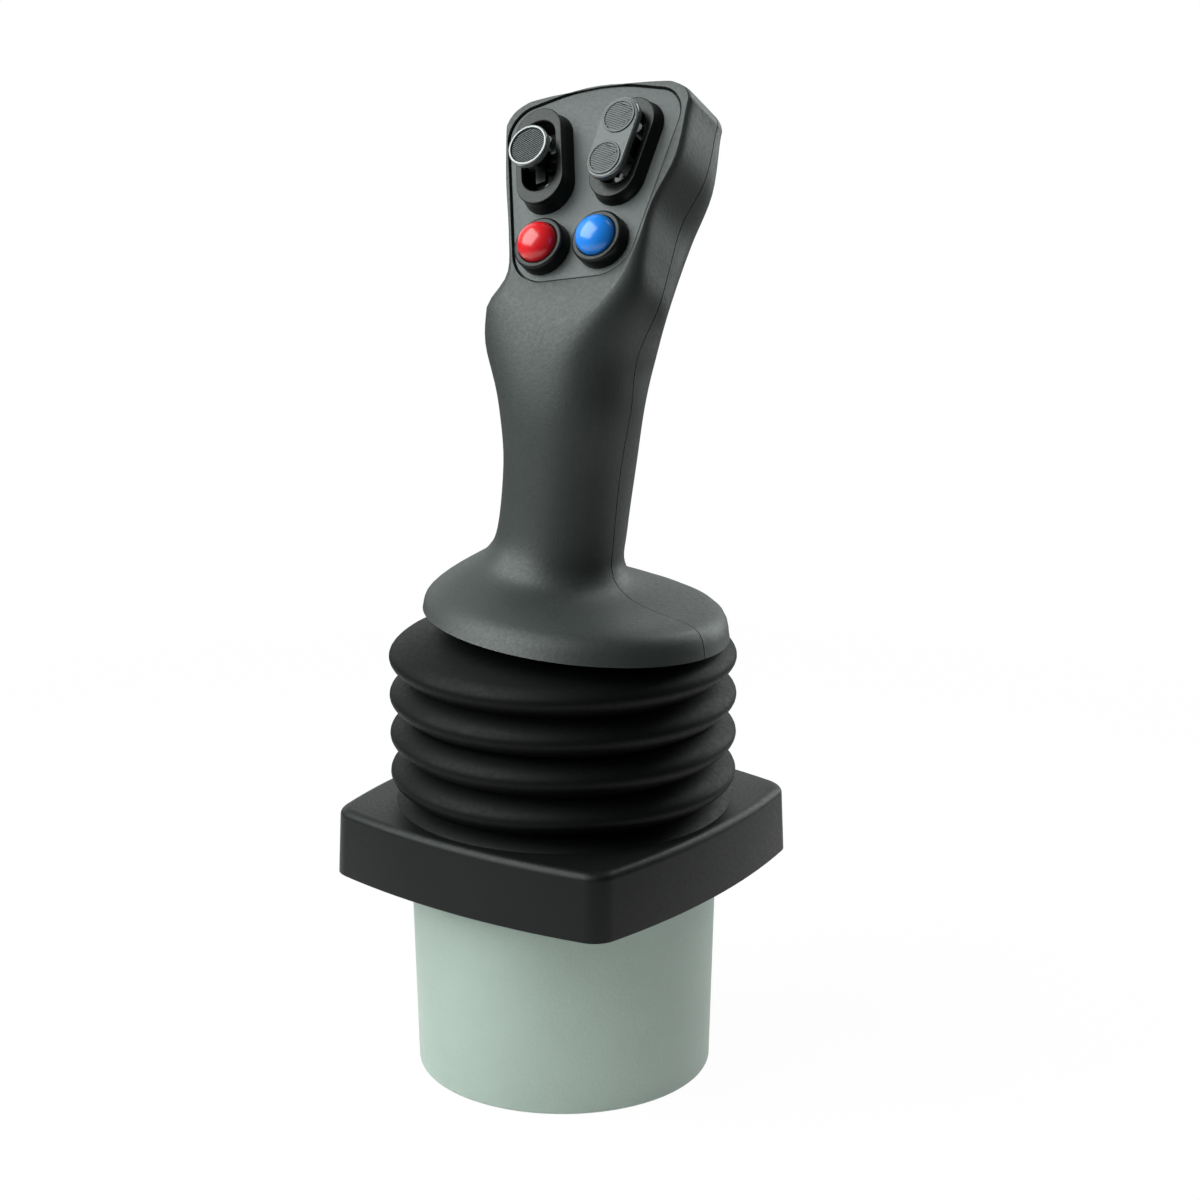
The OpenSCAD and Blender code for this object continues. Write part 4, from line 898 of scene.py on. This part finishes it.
# %% World
BACKDROP = Vector((-0.6, 0.8, 0.1)).normalized()
world = bpy.data.worlds.new("studio")
scene.world = world
world.use_nodes = True
nodes, links = world.node_tree.nodes, world.node_tree.links
room = nodes["Background"]
direction = nodes.new("ShaderNodeTexCoord")
towards = nodes.new("ShaderNodeVectorMath")
towards.operation = "DOT_PRODUCT"
towards.inputs[1].default_value = BACKDROP
links.new(direction.outputs["Generated"], towards.inputs[0])
links.new(ramped(nodes, links, towards.outputs["Value"], 0.5, 0.8, 0.1, 1.0), room.inputs["Strength"])
room.inputs["Color"].default_value = (0.93, 1.0, 0.97, 1)
white = nodes.new("ShaderNodeBackground")
white.inputs["Color"].default_value = (1, 1, 1, 1)
_, camera_ray = seen_directly(nodes, links)
mix_world = nodes.new("ShaderNodeMixShader")
links.new(camera_ray, mix_world.inputs["Fac"])
links.new(room.outputs["Background"], mix_world.inputs[1])
links.new(white.outputs["Background"], mix_world.inputs[2])
links.new(mix_world.outputs["Shader"], nodes["World Output"].inputs["Surface"])

# %% [markdown]
# One big softbox stands to the left and reaches high, and a narrow one to the right, a little behind. Their
# reflections draw the bright left side and the thin light edge on the right of the dark grip.

# %% Softboxes
def softbox(name, azimuth, elevation, distance, size, radiance, target=(0, 0, 90), tint=(1, 1, 1)):
    """A lamp placed by its direction from the joystick, in degrees from the camera's side, in millimetres."""
    turn = math.radians(36 - azimuth)
    lift = math.radians(elevation)
    out = Vector((math.sin(turn) * math.cos(lift), -math.cos(turn) * math.cos(lift), math.sin(lift)))
    data = bpy.data.lights.new(name, "AREA")
    data.shape = "RECTANGLE"
    data.size, data.size_y = size[0] * MM, size[1] * MM
    data.energy = radiance * math.pi * data.size * data.size_y
    data.color = tint
    lamp = bpy.data.objects.new(name, data)
    lamp.location = (Vector(target) + out * distance) * MM
    lamp.rotation_euler = (-out).to_track_quat("-Z", "Y").to_euler()
    scene.collection.objects.link(lamp)
    print(name, "gives", round(data.energy, 1), "W")
    return lamp


COOL = (0.93, 1.0, 0.98)
softbox("left_box", 72, 40, 1100, (1300, 1200), 5.6, tint=COOL)
softbox("right_box", -128, 25, 1000, (450, 1100), 4.2, tint=COOL)
